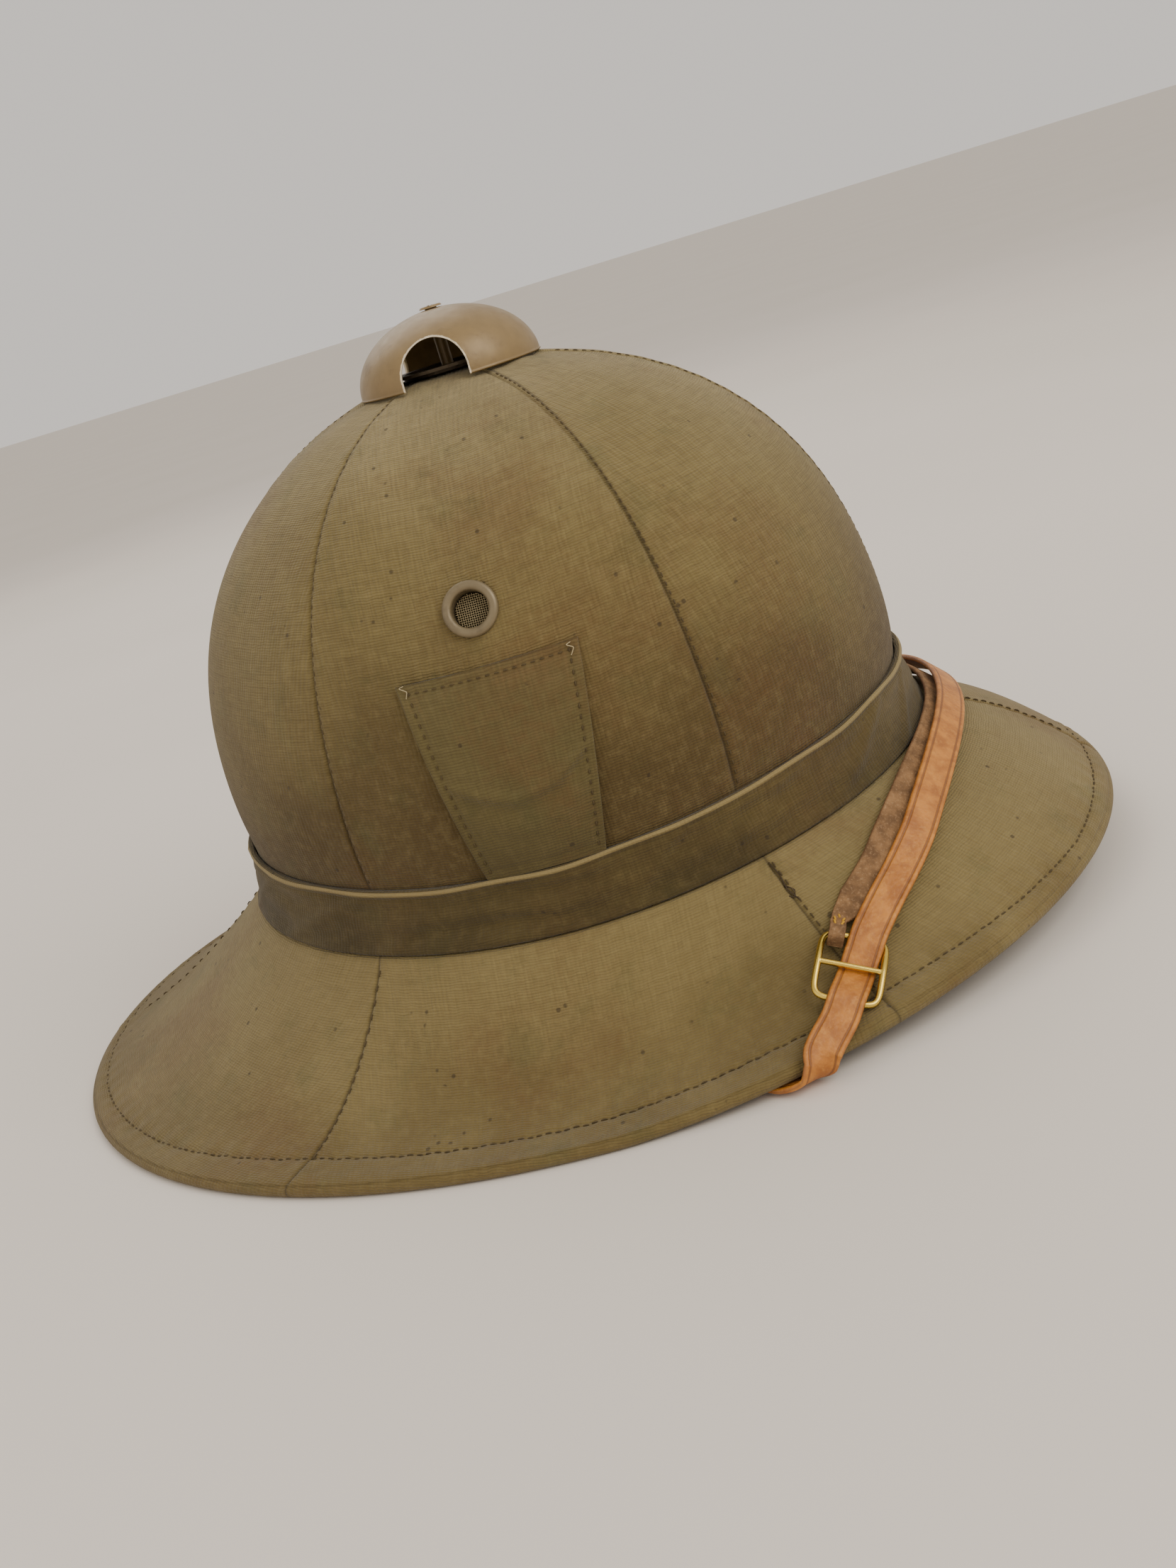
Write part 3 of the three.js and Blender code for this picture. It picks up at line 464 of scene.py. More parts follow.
class Effects:
    """The shader node groups shared by the finishes, each built once."""

    _made: dict[str, bpy.types.NodeTree] = {}

    @classmethod
    def _start(cls, name: str, inputs: dict[str, float | None], outputs: list[str]) -> tuple:
        """A new group tree with a Vector input, the named number inputs and number outputs."""
        tree = bpy.data.node_groups.new(name, "ShaderNodeTree")
        for key, value in inputs.items():
            kind = "NodeSocketVector" if value is None else "NodeSocketFloat"
            socket = tree.interface.new_socket(key, in_out="INPUT", socket_type=kind)
            if value is not None:
                socket.default_value = value
        for key in outputs:
            tree.interface.new_socket(key, in_out="OUTPUT", socket_type="NodeSocketFloat")
        n = Nodes(tree)
        cls._made[name] = tree
        return n, n.add("NodeGroupInput").outputs, n.add("NodeGroupOutput").inputs

    @classmethod
    def weave(cls) -> bpy.types.NodeTree:
        """Ribbed plain weave: height = |sin| of the threads both ways, with uneven slubs along them."""
        if "weave" in cls._made:
            return cls._made["weave"]
        n, given, result = cls._start("weave", {"Vector": None, "Threads": 1300.0}, ["Height", "Slub"])
        part = n.add("ShaderNodeSeparateXYZ", {0: given["Vector"]}).outputs
        wobble = n.math("MULTIPLY", n.noise(given["Vector"], 260.0, 2.0), 0.0011)
        ribs = []
        for axis, share in ((0, 0.62), (1, 1.0)):
            place = n.math("ADD", part[axis], wobble)
            turns = n.math("MULTIPLY", n.math("MULTIPLY", place, given["Threads"]), 3.1416 * share)
            ribs.append(n.math("ABSOLUTE", n.math("SINE", turns)))
        both = n.math("ADD", n.math("MULTIPLY", ribs[0], 0.35), n.math("MULTIPLY", ribs[1], 0.65))
        long_way = n.add("ShaderNodeMapping", {"Vector": given["Vector"], "Scale": (90.0, 1400.0, 1.0)}).outputs[0]
        cross_way = n.add("ShaderNodeMapping", {"Vector": given["Vector"], "Scale": (1400.0, 110.0, 1.0)}).outputs[0]
        slub = n.math("ADD", n.noise(long_way, 1.0, 2.0), n.noise(cross_way, 1.0, 2.0))
        slub = n.math("MULTIPLY", slub, 0.5)
        links = n.tree.links
        links.new(n.math("ADD", both, n.math("MULTIPLY", slub, 0.9)), result["Height"])
        links.new(slub, result["Slub"])
        return cls._made["weave"]

    @classmethod
    def stain(cls) -> bpy.types.NodeTree:
        """Cloudy patches of wear or dirt: two sizes of noise with their contrast raised."""
        if "stain" in cls._made:
            return cls._made["stain"]
        n, given, result = cls._start("stain", {"Vector": None, "Size": 30.0, "Spread": 0.5}, ["Mask", "Fleck"])
        clouds = n.add("ShaderNodeTexNoise", {"Vector": given["Vector"], "Scale": given["Size"], "Detail": 6.0})
        fine = n.noise(given["Vector"], 420.0, 5.0, 0.65)
        both = n.math("ADD", n.math("MULTIPLY", clouds.outputs["Fac"], 0.72), n.math("MULTIPLY", fine, 0.28))
        start = n.math("SUBTRACT", 0.62, n.math("MULTIPLY", given["Spread"], 0.2))
        mask = n.math("MULTIPLY", n.math("SUBTRACT", both, start), 7.0, clamp=True)
        dots = n.add("ShaderNodeTexVoronoi", {"Vector": given["Vector"], "Scale": 230.0, "Randomness": 1.0})
        few = n.band(n.noise(given["Vector"], 95.0, 1.0), 0.6, 0.66)
        fleck = n.math("MULTIPLY", n.band(dots.outputs["Distance"], 0.2, 0.11), few)
        n.tree.links.new(mask, result["Mask"])
        n.tree.links.new(fleck, result["Fleck"])
        return cls._made["stain"]

    @classmethod
    def grain(cls) -> bpy.types.NodeTree:
        """Leather grain: small rounded cells with fine noise between them."""
        if "grain" in cls._made:
            return cls._made["grain"]
        n, given, result = cls._start("grain", {"Vector": None, "Cells": 900.0}, ["Height", "Shade"])
        inputs = {"Vector": given["Vector"], "Scale": given["Cells"]}
        cells = n.add("ShaderNodeTexVoronoi", inputs, feature="SMOOTH_F1").outputs["Distance"]
        fine = n.noise(given["Vector"], 2600.0, 3.0, 0.6)
        n.tree.links.new(n.math("ADD", cells, n.math("MULTIPLY", fine, 0.5)), result["Height"])
        n.tree.links.new(n.noise(given["Vector"], 160.0, 6.0, 0.62), result["Shade"])
        return cls._made["grain"]


def fresh_material(name: str) -> tuple[bpy.types.Material, Nodes, bpy.types.Node]:
    """A new material with a writer for its nodes and its Principled shader."""
    material = bpy.data.materials.new(name)
    material.use_nodes = True
    n = Nodes(material.node_tree)
    return material, n, material.node_tree.nodes["Principled BSDF"]


@dataclass(frozen=True)
class ClothFinish:
    """Old cotton cloth: its light, base and dark colours, which paint light at the top and shade low down by height and
    also colour slubs and specks, its stain colours, thread count and how strongly each effect shows.
    """

    name: str
    light: tuple
    base: tuple
    dark: tuple
    stain: tuple
    green: tuple
    low_z: float
    high_z: float
    relief: float = 0.00035
    threads: float = 1300.0
    pale_edge: bool = False

    def material(self) -> bpy.types.Material:
        """Weave on the piece's own map, shade by height, cloudy stains, green and dark flecks."""
        material, n, shader = fresh_material(self.name)
        spot = n.add("ShaderNodeTexCoord").outputs
        weave = n.group(Effects.weave(), {"Vector": spot["UV"], "Threads": self.threads}).outputs
        big = n.group(Effects.stain(), {"Vector": spot["Object"], "Size": 21.0, "Spread": 0.55}).outputs
        small = n.group(Effects.stain(), {"Vector": spot["Object"], "Size": 64.0, "Spread": 0.35}).outputs
        z = n.add("ShaderNodeSeparateXYZ", {0: spot["Object"]}).outputs[2]
        # Painted shade and painted light by height: the cloth runs from dark low down to base at high_z, then to light
        # above it at the top; the noise only shakes the height.
        cloud = n.math("MULTIPLY", n.math("SUBTRACT", n.noise(spot["Object"], 26.0, 5.0), 0.5), 0.075)
        rise = n.band(n.math("ADD", z, cloud), self.low_z, self.high_z)
        colour = n.blend(rise, self.dark, self.base)
        top = n.band(n.math("ADD", z, cloud), self.high_z, self.high_z + 0.06)
        colour = n.blend(top, colour, self.light)
        colour = n.blend(n.math("MULTIPLY", big["Mask"], 0.42), colour, self.stain)
        colour = n.blend(n.math("MULTIPLY", small["Mask"], 0.38), colour, self.green)
        bright = n.band(n.noise(spot["Object"], 330.0, 6.0, 0.7), 0.42, 0.72)
        colour = n.blend(n.math("MULTIPLY", bright, 0.22), colour, self.light)
        slub = n.band(weave["Slub"], 0.3, 0.7)
        colour = n.blend(n.math("MULTIPLY", n.math("SUBTRACT", 1.0, slub), 0.42), colour, self.dark)
        colour = n.blend(n.math("MULTIPLY", big["Fleck"], 0.6), colour, linear(44, 34, 22))
        if self.pale_edge:
            along = n.add("ShaderNodeSeparateXYZ", {0: spot["UV"]}).outputs[1]
            fold = n.band(along, 0.0016, 0.0008)
            colour = n.blend(n.math("MULTIPLY", fold, 0.55), colour, linear(168, 148, 100))
        seam = n.add("ShaderNodeAttribute", attribute_name="seam").outputs["Fac"]
        colour = n.blend(n.math("MULTIPLY", seam, 0.6), colour, linear(40, 31, 17))
        bump = n.add("ShaderNodeBump", {"Height": weave["Height"], "Strength": 0.75, "Distance": self.relief})
        cloth = n.noise(spot["Object"], 120.0, 4.0)
        soft = n.add("ShaderNodeBump", {"Height": cloth, "Strength": 0.4, "Distance": 0.0012})
        n.tree.links.new(soft.outputs[0], bump.inputs["Normal"])
        n.tree.links.new(colour, shader.inputs["Base Color"])
        n.tree.links.new(bump.outputs[0], shader.inputs["Normal"])
        shader.inputs["Roughness"].default_value = 0.94
        shader.inputs["Specular IOR Level"].default_value = 0.18
        shader.inputs["Sheen Weight"].default_value = 0.12
        shader.inputs["Sheen Roughness"].default_value = 0.6
        return material


@dataclass(frozen=True)
class LeatherFinish:
    """Strap leather; a smooth face has a creased line near each edge, a flesh side is rough and speckled."""

    name: str
    base: tuple
    dark: tuple
    light: tuple
    creased: bool
    roughness: float

    def material(self) -> bpy.types.Material:
        """Grain from the strap's map, crease lines by the distance across, cloudy darkening."""
        material, n, shader = fresh_material(self.name)
        spot = n.add("ShaderNodeTexCoord").outputs
        grain = n.group(Effects.grain(), {"Vector": spot["Object"], "Cells": 950.0 if self.creased else 1500.0}).outputs
        across = n.add("ShaderNodeSeparateXYZ", {0: spot["UV"]}).outputs[1]
        near = n.math("ABSOLUTE", n.math("SUBTRACT", n.math("ABSOLUTE", across), 0.0034))
        crease = n.band(near, 0.0005, 0.0001)
        shade = n.band(grain["Shade"], 0.35, 0.7)
        colour = n.blend(shade, self.dark, self.base)
        pale = n.band(n.noise(spot["Object"], 540.0 if self.creased else 1300.0, 4.0, 0.7), 0.5, 0.7)
        colour = n.blend(n.math("MULTIPLY", pale, 0.35), colour, self.light)
        if self.creased:
            colour = n.blend(n.math("MULTIPLY", crease, 0.75), colour, linear(112, 66, 30))
        edge = n.band(n.math("ABSOLUTE", across), 0.0046, 0.0051)
        colour = n.blend(n.math("MULTIPLY", edge, 0.7), colour, linear(120, 74, 38))
        height = n.math("SUBTRACT", grain["Height"], n.math("MULTIPLY", crease, 1.2 if self.creased else 0.0))
        bump = n.add("ShaderNodeBump", {"Height": height, "Strength": 0.55, "Distance": 0.0003})
        n.tree.links.new(colour, shader.inputs["Base Color"])
        n.tree.links.new(bump.outputs[0], shader.inputs["Normal"])
        shader.inputs["Roughness"].default_value = self.roughness
        return material


@dataclass(frozen=True)
class MetalFinish:
    """Metal, bare or painted: its colour, the colour that shows where it is worn, and its gloss."""

    name: str
    base: tuple
    worn: tuple
    metallic: float
    roughness: float
    wear: float

    def material(self) -> bpy.types.Material:
        """Base colour with cloudy tone, worn spots, and bright chips where the `edge` attribute is high."""
        material, n, shader = fresh_material(self.name)
        spot = n.add("ShaderNodeTexCoord").outputs
        stain = n.group(Effects.stain(), {"Vector": spot["Object"], "Size": 110.0, "Spread": self.wear}).outputs
        edge = n.add("ShaderNodeAttribute", attribute_name="edge").outputs["Fac"]
        chips = n.noise(spot["Object"], 700.0, 4.0, 0.7)
        chipped = n.math("MULTIPLY", n.band(n.math("ADD", edge, n.math("MULTIPLY", chips, 0.7)), 0.88, 1.0), 1.0)
        colour = n.blend(n.math("MULTIPLY", stain["Mask"], 0.55), self.base, self.worn)
        tone = n.noise(spot["Object"], 260.0, 5.0)
        colour = n.blend(n.math("MULTIPLY", tone, 0.35), colour, linear(70, 58, 42))
        colour = n.blend(chipped, colour, linear(214, 200, 172))
        rough = n.add("ShaderNodeMapRange", {"Value": tone, "To Min": self.roughness - 0.1, "To Max": self.roughness + 0.14})
        bump = n.add("ShaderNodeBump", {"Height": n.math("ADD", tone, stain["Mask"]), "Strength": 0.3, "Distance": 0.0002})
        n.tree.links.new(colour, shader.inputs["Base Color"])
        n.tree.links.new(rough.outputs[0], shader.inputs["Roughness"])
        n.tree.links.new(bump.outputs[0], shader.inputs["Normal"])
        shader.inputs["Metallic"].default_value = self.metallic
        return material


@dataclass(frozen=True)
class ThreadFinish:
    """Sewing thread of one colour."""

    name: str
    base: tuple
    dark: tuple

    def material(self) -> bpy.types.Material:
        """Colour broken up by fine noise, matt."""
        material, n, shader = fresh_material(self.name)
        spot = n.add("ShaderNodeTexCoord").outputs
        tone = n.noise(spot["Object"], 1500.0, 3.0)
        bump = n.add("ShaderNodeBump", {"Height": tone, "Strength": 0.5, "Distance": 0.0001})
        n.tree.links.new(n.blend(tone, self.dark, self.base), shader.inputs["Base Color"])
        n.tree.links.new(bump.outputs[0], shader.inputs["Normal"])
        shader.inputs["Roughness"].default_value = 0.85
        return material


class Finishes:
    """Every finish of the helmet, made once."""

    def __init__(self) -> None:
        """Builds the materials."""
        red, green = linear(98, 68, 38), linear(82, 84, 48)
        # Each cloth's light, base and dark colours also paint light at the top and shade low down, between its low and
        # high heights in metres.
        self.crown = ClothFinish(
            "crown_cotton", linear(147, 131, 88), linear(123, 108, 66), linear(80, 64, 32), red, green, 0.07, 0.14
        ).material()
        self.brim = ClothFinish(
            "brim_cotton", linear(146, 130, 86), linear(129, 113, 71), linear(104, 88, 50), red, green, 0.0, 0.03
        ).material()
        self.band = ClothFinish(
            "band_cotton", linear(120, 105, 66), linear(90, 76, 41), linear(62, 51, 24), linear(78, 56, 29),
            linear(68, 65, 34), 0.035, 0.07, 0.0003, pale_edge=True,
        ).material()
        self.patch = ClothFinish(
            "patch_cotton", linear(118, 105, 69), linear(96, 85, 50), linear(74, 63, 33), linear(100, 62, 34),
            linear(72, 72, 40), 0.04, 0.09, 0.0003,
        ).material()
        self.paint = MetalFinish(
            "cap_paint", linear(142, 118, 76), linear(110, 86, 52), 0.15, 0.4, 0.3
        ).material()
        self.vent = MetalFinish(
            "vent_paint", linear(128, 114, 86), linear(84, 72, 52), 0.35, 0.4, 0.4
        ).material()
        self.dark_metal = MetalFinish(
            "dark_metal", linear(82, 72, 58), linear(60, 44, 30), 0.8, 0.55, 0.6
        ).material()
        self.wire = MetalFinish("vent_wire", linear(176, 160, 122), linear(110, 92, 64), 0.4, 0.45, 0.4).material()
        self.brass = MetalFinish("brass", linear(236, 202, 96), linear(160, 124, 50), 1.0, 0.25, 0.15).material()
        self.leather = LeatherFinish(
            "strap_leather", linear(198, 128, 48), linear(160, 96, 32), linear(212, 150, 70), True, 0.5
        ).material()
        self.suede = LeatherFinish(
            "strap_flesh_side", linear(150, 112, 72), linear(100, 72, 44), linear(184, 150, 112), False, 0.9
        ).material()
        self.dark_thread = ThreadFinish("dark_thread", linear(74, 58, 34), linear(40, 30, 18)).material()
        self.khaki_thread = ThreadFinish("khaki_thread", linear(92, 76, 44), linear(56, 45, 26)).material()
        self.pale_thread = ThreadFinish("pale_thread", linear(190, 176, 140), linear(140, 124, 90)).material()
        self.yellow_thread = ThreadFinish("yellow_thread", linear(222, 172, 44), linear(160, 112, 24)).material()


def dress(piece: bpy.types.Object, material: bpy.types.Material, slot: str, *nodes: str) -> bpy.types.Object:
    """Gives a piece its finish and its body, and hides the CAD nodes that it stands for."""
    piece.data.materials.clear()
    piece.data.materials.append(material)
    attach(piece, ROOT)
    if nodes:
        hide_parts(*nodes)
    return piece


def cut_away(piece: bpy.types.Object, cutters: list[bpy.types.Object]) -> None:
    """Subtracts the cutters from a piece and removes them."""
    for cutter in cutters:
        change = piece.modifiers.new("cut", "BOOLEAN")
        change.operation = "DIFFERENCE"
        change.solver = "EXACT"
        change.object = cutter
    bpy.context.view_layer.update()
    graph = bpy.context.evaluated_depsgraph_get()
    mesh = bpy.data.meshes.new_from_object(piece.evaluated_get(graph))
    piece.modifiers.clear()
    piece.data = mesh
    for cutter in cutters:
        bpy.data.objects.remove(cutter)


def read_points(piece: bpy.types.Object) -> Array:
    """A piece's vertices in millimetres, before the shift to the helmet's centre."""
    co = np.zeros(len(piece.data.vertices) * 3)
    piece.data.vertices.foreach_get("co", co)
    return co.reshape(-1, 3) / MM - np.array([0, CENTRE_SHIFT, 0])


def write_attribute(piece: bpy.types.Object, name: str, values: Array) -> None:
    """Puts one number per vertex into a named attribute."""
    layer = piece.data.attributes.new(name, "FLOAT", "POINT")
    layer.data.foreach_set("value", values.astype(np.float32))


@dataclass
class VentPlace:
    """Where a side vent sits on the crown and which way it looks."""

    side: Side
    angle: float = 90.0
    level: float = 0.553

    def frame(self) -> tuple[Array, Array]:
        """The vent's centre on the crown's face and its outward direction."""
        angle = np.array(self.angle * self.side.value)
        low = self_level(angle, self.level - 0.02)
        high = self_level(angle, self.level + 0.02)
        out = unit(np.array([(high[1] - low[1]) * self.side.value, 0.0, low[0] - high[0]]))
        return SHAPE.on_crown(angle, np.array(self.level), 0.0), out


def self_level(angle: Array, level: float) -> tuple[float, float]:
    """Radius and height of the crown at one angle and level, as plain numbers."""
    r, z = SHAPE.crown_outside(angle, np.array(level))
    return float(r), float(z)


@dataclass
class Crown:
    """The six-panel dome: outer face with sewn seams, inner face 4.5 mm inside it, open foot and top hole."""

    outside_rows: int = 84
    band_rows: int = 6
    dent: float = 0.55

    def profile(self) -> tuple[Array, Array, Array]:
        """Closed profile at each angle.

        Returns:
            Angles, radii and heights. The outer face climbs from the band's foot to the top hole; the inner face is
            the same curve moved 4.5 mm inwards. The outer face carries the seam relief and shallow dents.
        """
        angle = ring_angles()
        t = np.linspace(1, 0, self.band_rows, endpoint=False)[None]
        cover = SHAPE.band_thickness + SHAPE.cover_gap
        r0, z0 = SHAPE.band_face(angle, t)
        level = 0.985 * np.sin(np.radians(np.linspace(0, 90, self.outside_rows)))[None]
        r1, z1 = SHAPE.crown_outside(angle, level)
        apex = SHAPE.band_top_z + SHAPE.crown_rise
        r = np.hstack([r0 - cover, r1, np.full_like(angle, SHAPE.top_hole)])
        z = np.hstack([z0, z1, np.full_like(angle, apex - 0.7)])
        z[:, 0] -= 0.3
        nr, nz = self.normals(r, z)
        keep = slice(0, None, 4)
        inner_r = (r - SHAPE.wall * nr)[:, keep][:, ::-1]
        inner_z = (z - SHAPE.wall * nz)[:, keep][:, ::-1]
        inner_z[:, -1] = z[:, 0]
        inner_r[:, 0], inner_z[:, 0] = SHAPE.top_hole, apex - SHAPE.wall - 0.7
        height = np.hstack([0 * t[0], level[0], [1.0]])[None]
        fade = np.clip(height / 0.04, 0, 1) * np.clip((1.0 - height) / 0.02, 0, 1)
        relief = seam_relief(angle, r, z) + self.dent * ripple(angle, height * 0.8, 5)
        relief = relief + self.bulge(angle, height)
        r, z = r + nr * relief * fade, z + nz * relief * fade
        return angle, np.hstack([r, inner_r]), np.hstack([z, inner_z])

    @staticmethod
    def bulge(angle: Array, height: Array) -> Array:
        """Each panel stands 0.7 sin(pi x) mm proud between its seams, most at mid height."""
        a = angle[:, 0] % 360
        which = np.searchsorted(SEAMS, a, side="right") - 1
        ends = np.append(SEAMS, 360.0)
        x = (a - ends[which]) / (ends[which + 1] - ends[which])
        return (0.7 * np.sin(np.pi * x) ** 0.7)[:, None] * np.sin(np.pi * np.clip(height, 0, 1)) - 0.2

    @staticmethod
    def normals(r: Array, z: Array) -> tuple[Array, Array]:
        """Outward unit normal of an open profile in the plane of radius and height."""
        dr, dz = np.gradient(r, axis=1), np.gradient(z, axis=1)
        length = np.hypot(dr, dz)
        return dz / length, -dr / length

    def build(self, finish: bpy.types.Material) -> bpy.types.Object:
        """Makes the crown with its side holes."""
        angle, r, z = self.profile()
        piece = MeshMaker.ring("crown_cover", angle, r, z, True)
        drills = []
        for side in Side:
            place, out = VentPlace(side).frame()
            profile = np.array([[0.001, -15.0], [6.6, -15.0], [6.6, 15.0], [0.001, 15.0]])
            drills.append(MeshMaker.turned(f"drill_{side.label}", profile, place, out, 48))
        cut_away(piece, drills)
        mark_seams(piece)
        return dress(piece, finish, "cover_cloth", "crown")

    def stitching(self, finish: bpy.types.Material) -> bpy.types.Object:
        """A row of small stitches 0.9 mm beside every seam, one each 3.4 mm."""
        level = np.sin(np.linspace(0.02, 1.3, 58))
        seam, up = np.meshgrid(SEAMS, level, indexing="ij")
        r, _ = SHAPE.crown_outside(seam, up)
        angle = seam + np.degrees(0.9 / r)
        lift = self.dent * ripple(angle, up * 0.8, 5) - 0.12
        at = SHAPE.on_crown(angle, up, lift).reshape(-1, 3)
        ahead = SHAPE.on_crown(angle, up + 0.004, lift).reshape(-1, 3)
        above = SHAPE.on_crown(angle, up, lift + 1).reshape(-1, 3)
        piece = MeshMaker.stitches("crown_seam_stitching", at, ahead - at, above - at, (1.7, 0.24))
        return dress(piece, finish, "cover_cloth")


@dataclass
class Brim:
    """The drooping brim: upper face, rolled edge, hem line and underside 4 mm below."""

    top_rows: int = 66
    under_rows: int = 26

    @staticmethod
    def hem(angle: Array) -> Array:
        """Where the hem's stitch line lies on the slope, as a share from the band (0) to the edge (1)."""
        a = np.abs((angle + 180) % 360 - 180)
        places = [0, 5, 25, 37, 51, 69, 85, 101, 122, 142, 164, 180]
        shares = [0.915, 0.915, 0.945, 0.92, 0.87, 0.82, 0.80, 0.79, 0.81, 0.88, 0.93, 0.935]
        return np.interp(a, places, shares)

    @staticmethod
    def slope(angle: Array) -> Array:
        """Length of the brim's slope from band to edge."""
        r0, z0 = SHAPE.brim_top(angle, np.array(0.0))
        r1, z1 = SHAPE.brim_top(angle, np.array(1.0))
        return np.hypot(r1 - r0, z1 - z0)

    def relief(self, angle: Array, v: Array) -> Array:
        """Seams, a hem groove with puckers on its inner side, a padded hem and shallow waves."""
        slope = self.slope(angle)
        r, _ = SHAPE.brim_top(angle, v)
        d = (v - self.hem(angle)) * slope
        pucker = 0.22 * np.sin(np.radians(angle) * 130 + 2.5 * np.sin(np.radians(angle) * 9)) * smooth_bell(d + 1, 5.0)
        padded = 0.35 * np.clip(d / 3, 0, 1) * np.clip((1 - v) * slope / 2.0, 0, 1)
        hem = padded - 0.6 * smooth_bell(d, 0.8) + pucker
        seams = seam_relief(angle, r, v * slope)
        waves = 0.5 * ripple(angle, v * 0.6, 11, finest=9) * np.clip(v / 0.1, 0, 1) * np.clip((1 - v) / 0.06, 0, 1)
        return (seams + hem) * np.clip(v / 0.05, 0, 1) * np.clip((1 - v) / 0.02, 0, 1) + waves

    def build(self, finish: bpy.types.Material) -> bpy.types.Object:
        """Makes the brim as one closed ring."""
        angle = ring_angles()
        v = np.linspace(0, 1, self.top_rows)[None]
        r0, z0 = SHAPE.brim_top(angle, v)
        nr, nz = SHAPE.brim_normal(angle, v)
        relief = self.relief(angle, v)
        r0, z0 = r0 + nr * relief, z0 + nz * relief
        edge, rise = SHAPE.brim_radius(angle), SHAPE.brim_rise(angle)
        turn = np.radians(np.linspace(62, -90, 9))[None]
        r1, z1 = edge - 2.0 + 2.0 * np.cos(turn), rise + 2.0 + 2.0 * np.sin(turn)
        r2, z2 = edge - 4.0, rise + 0 * edge
        w = np.linspace(0.89, 0.05, self.under_rows)[None]
        r3, z3 = SHAPE.brim_top(angle, w)
        mr, mz = SHAPE.brim_normal(angle, w)
        r3, z3 = r3 - SHAPE.brim_wall * mr, z3 - SHAPE.brim_wall * mz
        r4 = r0[:, :1] - SHAPE.brim_wall - 2
        r = np.hstack([r0, r1, r2, r3, r4])
        z = np.hstack([z0, z1, z2, z3, z0[:, :1]])
        piece = MeshMaker.ring("brim_cover", angle, r, z, True)
        mark_seams(piece)
        return dress(piece, finish, "cover_cloth", "brim")

    def stitching(self, finish: bpy.types.Material) -> bpy.types.Object:
        """The hem's stitches, one each 3 mm or so, and stitches beside the brim's seams."""
        angle = np.arange(0, 360, 1.05)
        v = self.hem(angle)
        lift = self.relief(angle[:, None], v[:, None])[:, 0] + 0.25
        at = SHAPE.on_brim(angle, v, lift)
        ahead = SHAPE.on_brim(angle + 0.2, self.hem(angle + 0.2), lift)
        above = SHAPE.on_brim(angle, v, lift + 1)
        seam, up = np.meshgrid(SEAMS, np.linspace(0.05, 0.8, 17), indexing="ij")
        r, _ = SHAPE.brim_top(seam, up)
        beside = (seam + np.degrees(0.9 / r)).reshape(-1)
        up = up.reshape(-1)
        raised = self.relief(beside[:, None], up[:, None])[:, 0] + 0.22
        at2 = SHAPE.on_brim(beside, up, raised)
        ahead2 = SHAPE.on_brim(beside, up + 0.01, raised)
        above2 = SHAPE.on_brim(beside, up, raised + 1)
        piece = MeshMaker.stitches(
            "brim_stitching", np.vstack([at, at2]), np.vstack([ahead - at, ahead2 - at2]),
            np.vstack([above - at, above2 - at2]), (1.9, 0.24),
        )
        return dress(piece, finish, "cover_cloth")


@dataclass
class Band:
    """The cloth strip round the crown's foot, folded at both edges and creased along its length."""

    rows: int = 40

    @staticmethod
    def folds(angle: Array, t: Array) -> Array:
        """Long creases that wander up and down, some slanting ones, a beaded top edge and a rolled foot."""
        a = np.radians(angle)
        wander = 0.8 * np.sin(3 * a + 1.0) + 0.5 * np.sin(7 * a + 2.0)
        strength = 0.5 + 0.5 * np.sin(5 * a + 0.7) * np.sin(2 * a + 2.1)
        long_folds = 0.6 * strength * np.sin(2 * np.pi * 2.3 * t + wander)
        slanted = 0.9 * np.maximum(0, np.sin(22 * a + 6 * t + 2 * np.sin(4 * a))) ** 3 * (1 - strength)
        middle = np.clip(t / 0.14, 0, 1) * np.clip((1 - t) / 0.1, 0, 1)
        bead = 0.5 * smooth_bell(t - 0.045, 0.04) - 0.35 * smooth_bell(t - 0.125, 0.03)
        foot = 0.35 * smooth_bell(t - 0.96, 0.04)
        uneven = 0.22 * ripple(angle, t * 2.0, 23, finest=31)
        return (long_folds + slanted + uneven) * middle + bead + foot

    def build(self, finish: bpy.types.Material) -> bpy.types.Object:
        """Makes the band: outer face with its folds, and an inner face 1.5 mm inside."""
        angle = ring_angles()
        t = np.linspace(0, 1, self.rows)[None]
        r, z = SHAPE.band_face(angle, t)
        sway = 0.35 * ripple(angle, 0 * t, 31, finest=23) * (1 - t)
        outer = r + self.folds(angle, t)
        inner_r, inner_z = SHAPE.band_face(angle, np.linspace(1, 0, 12)[None])
        piece = MeshMaker.ring(
            "hat_band", angle, np.hstack([outer, inner_r - SHAPE.band_thickness]), np.hstack([z + sway, inner_z]), False
        )
        dress(piece, finish, "band_cloth", "band")
        return piece


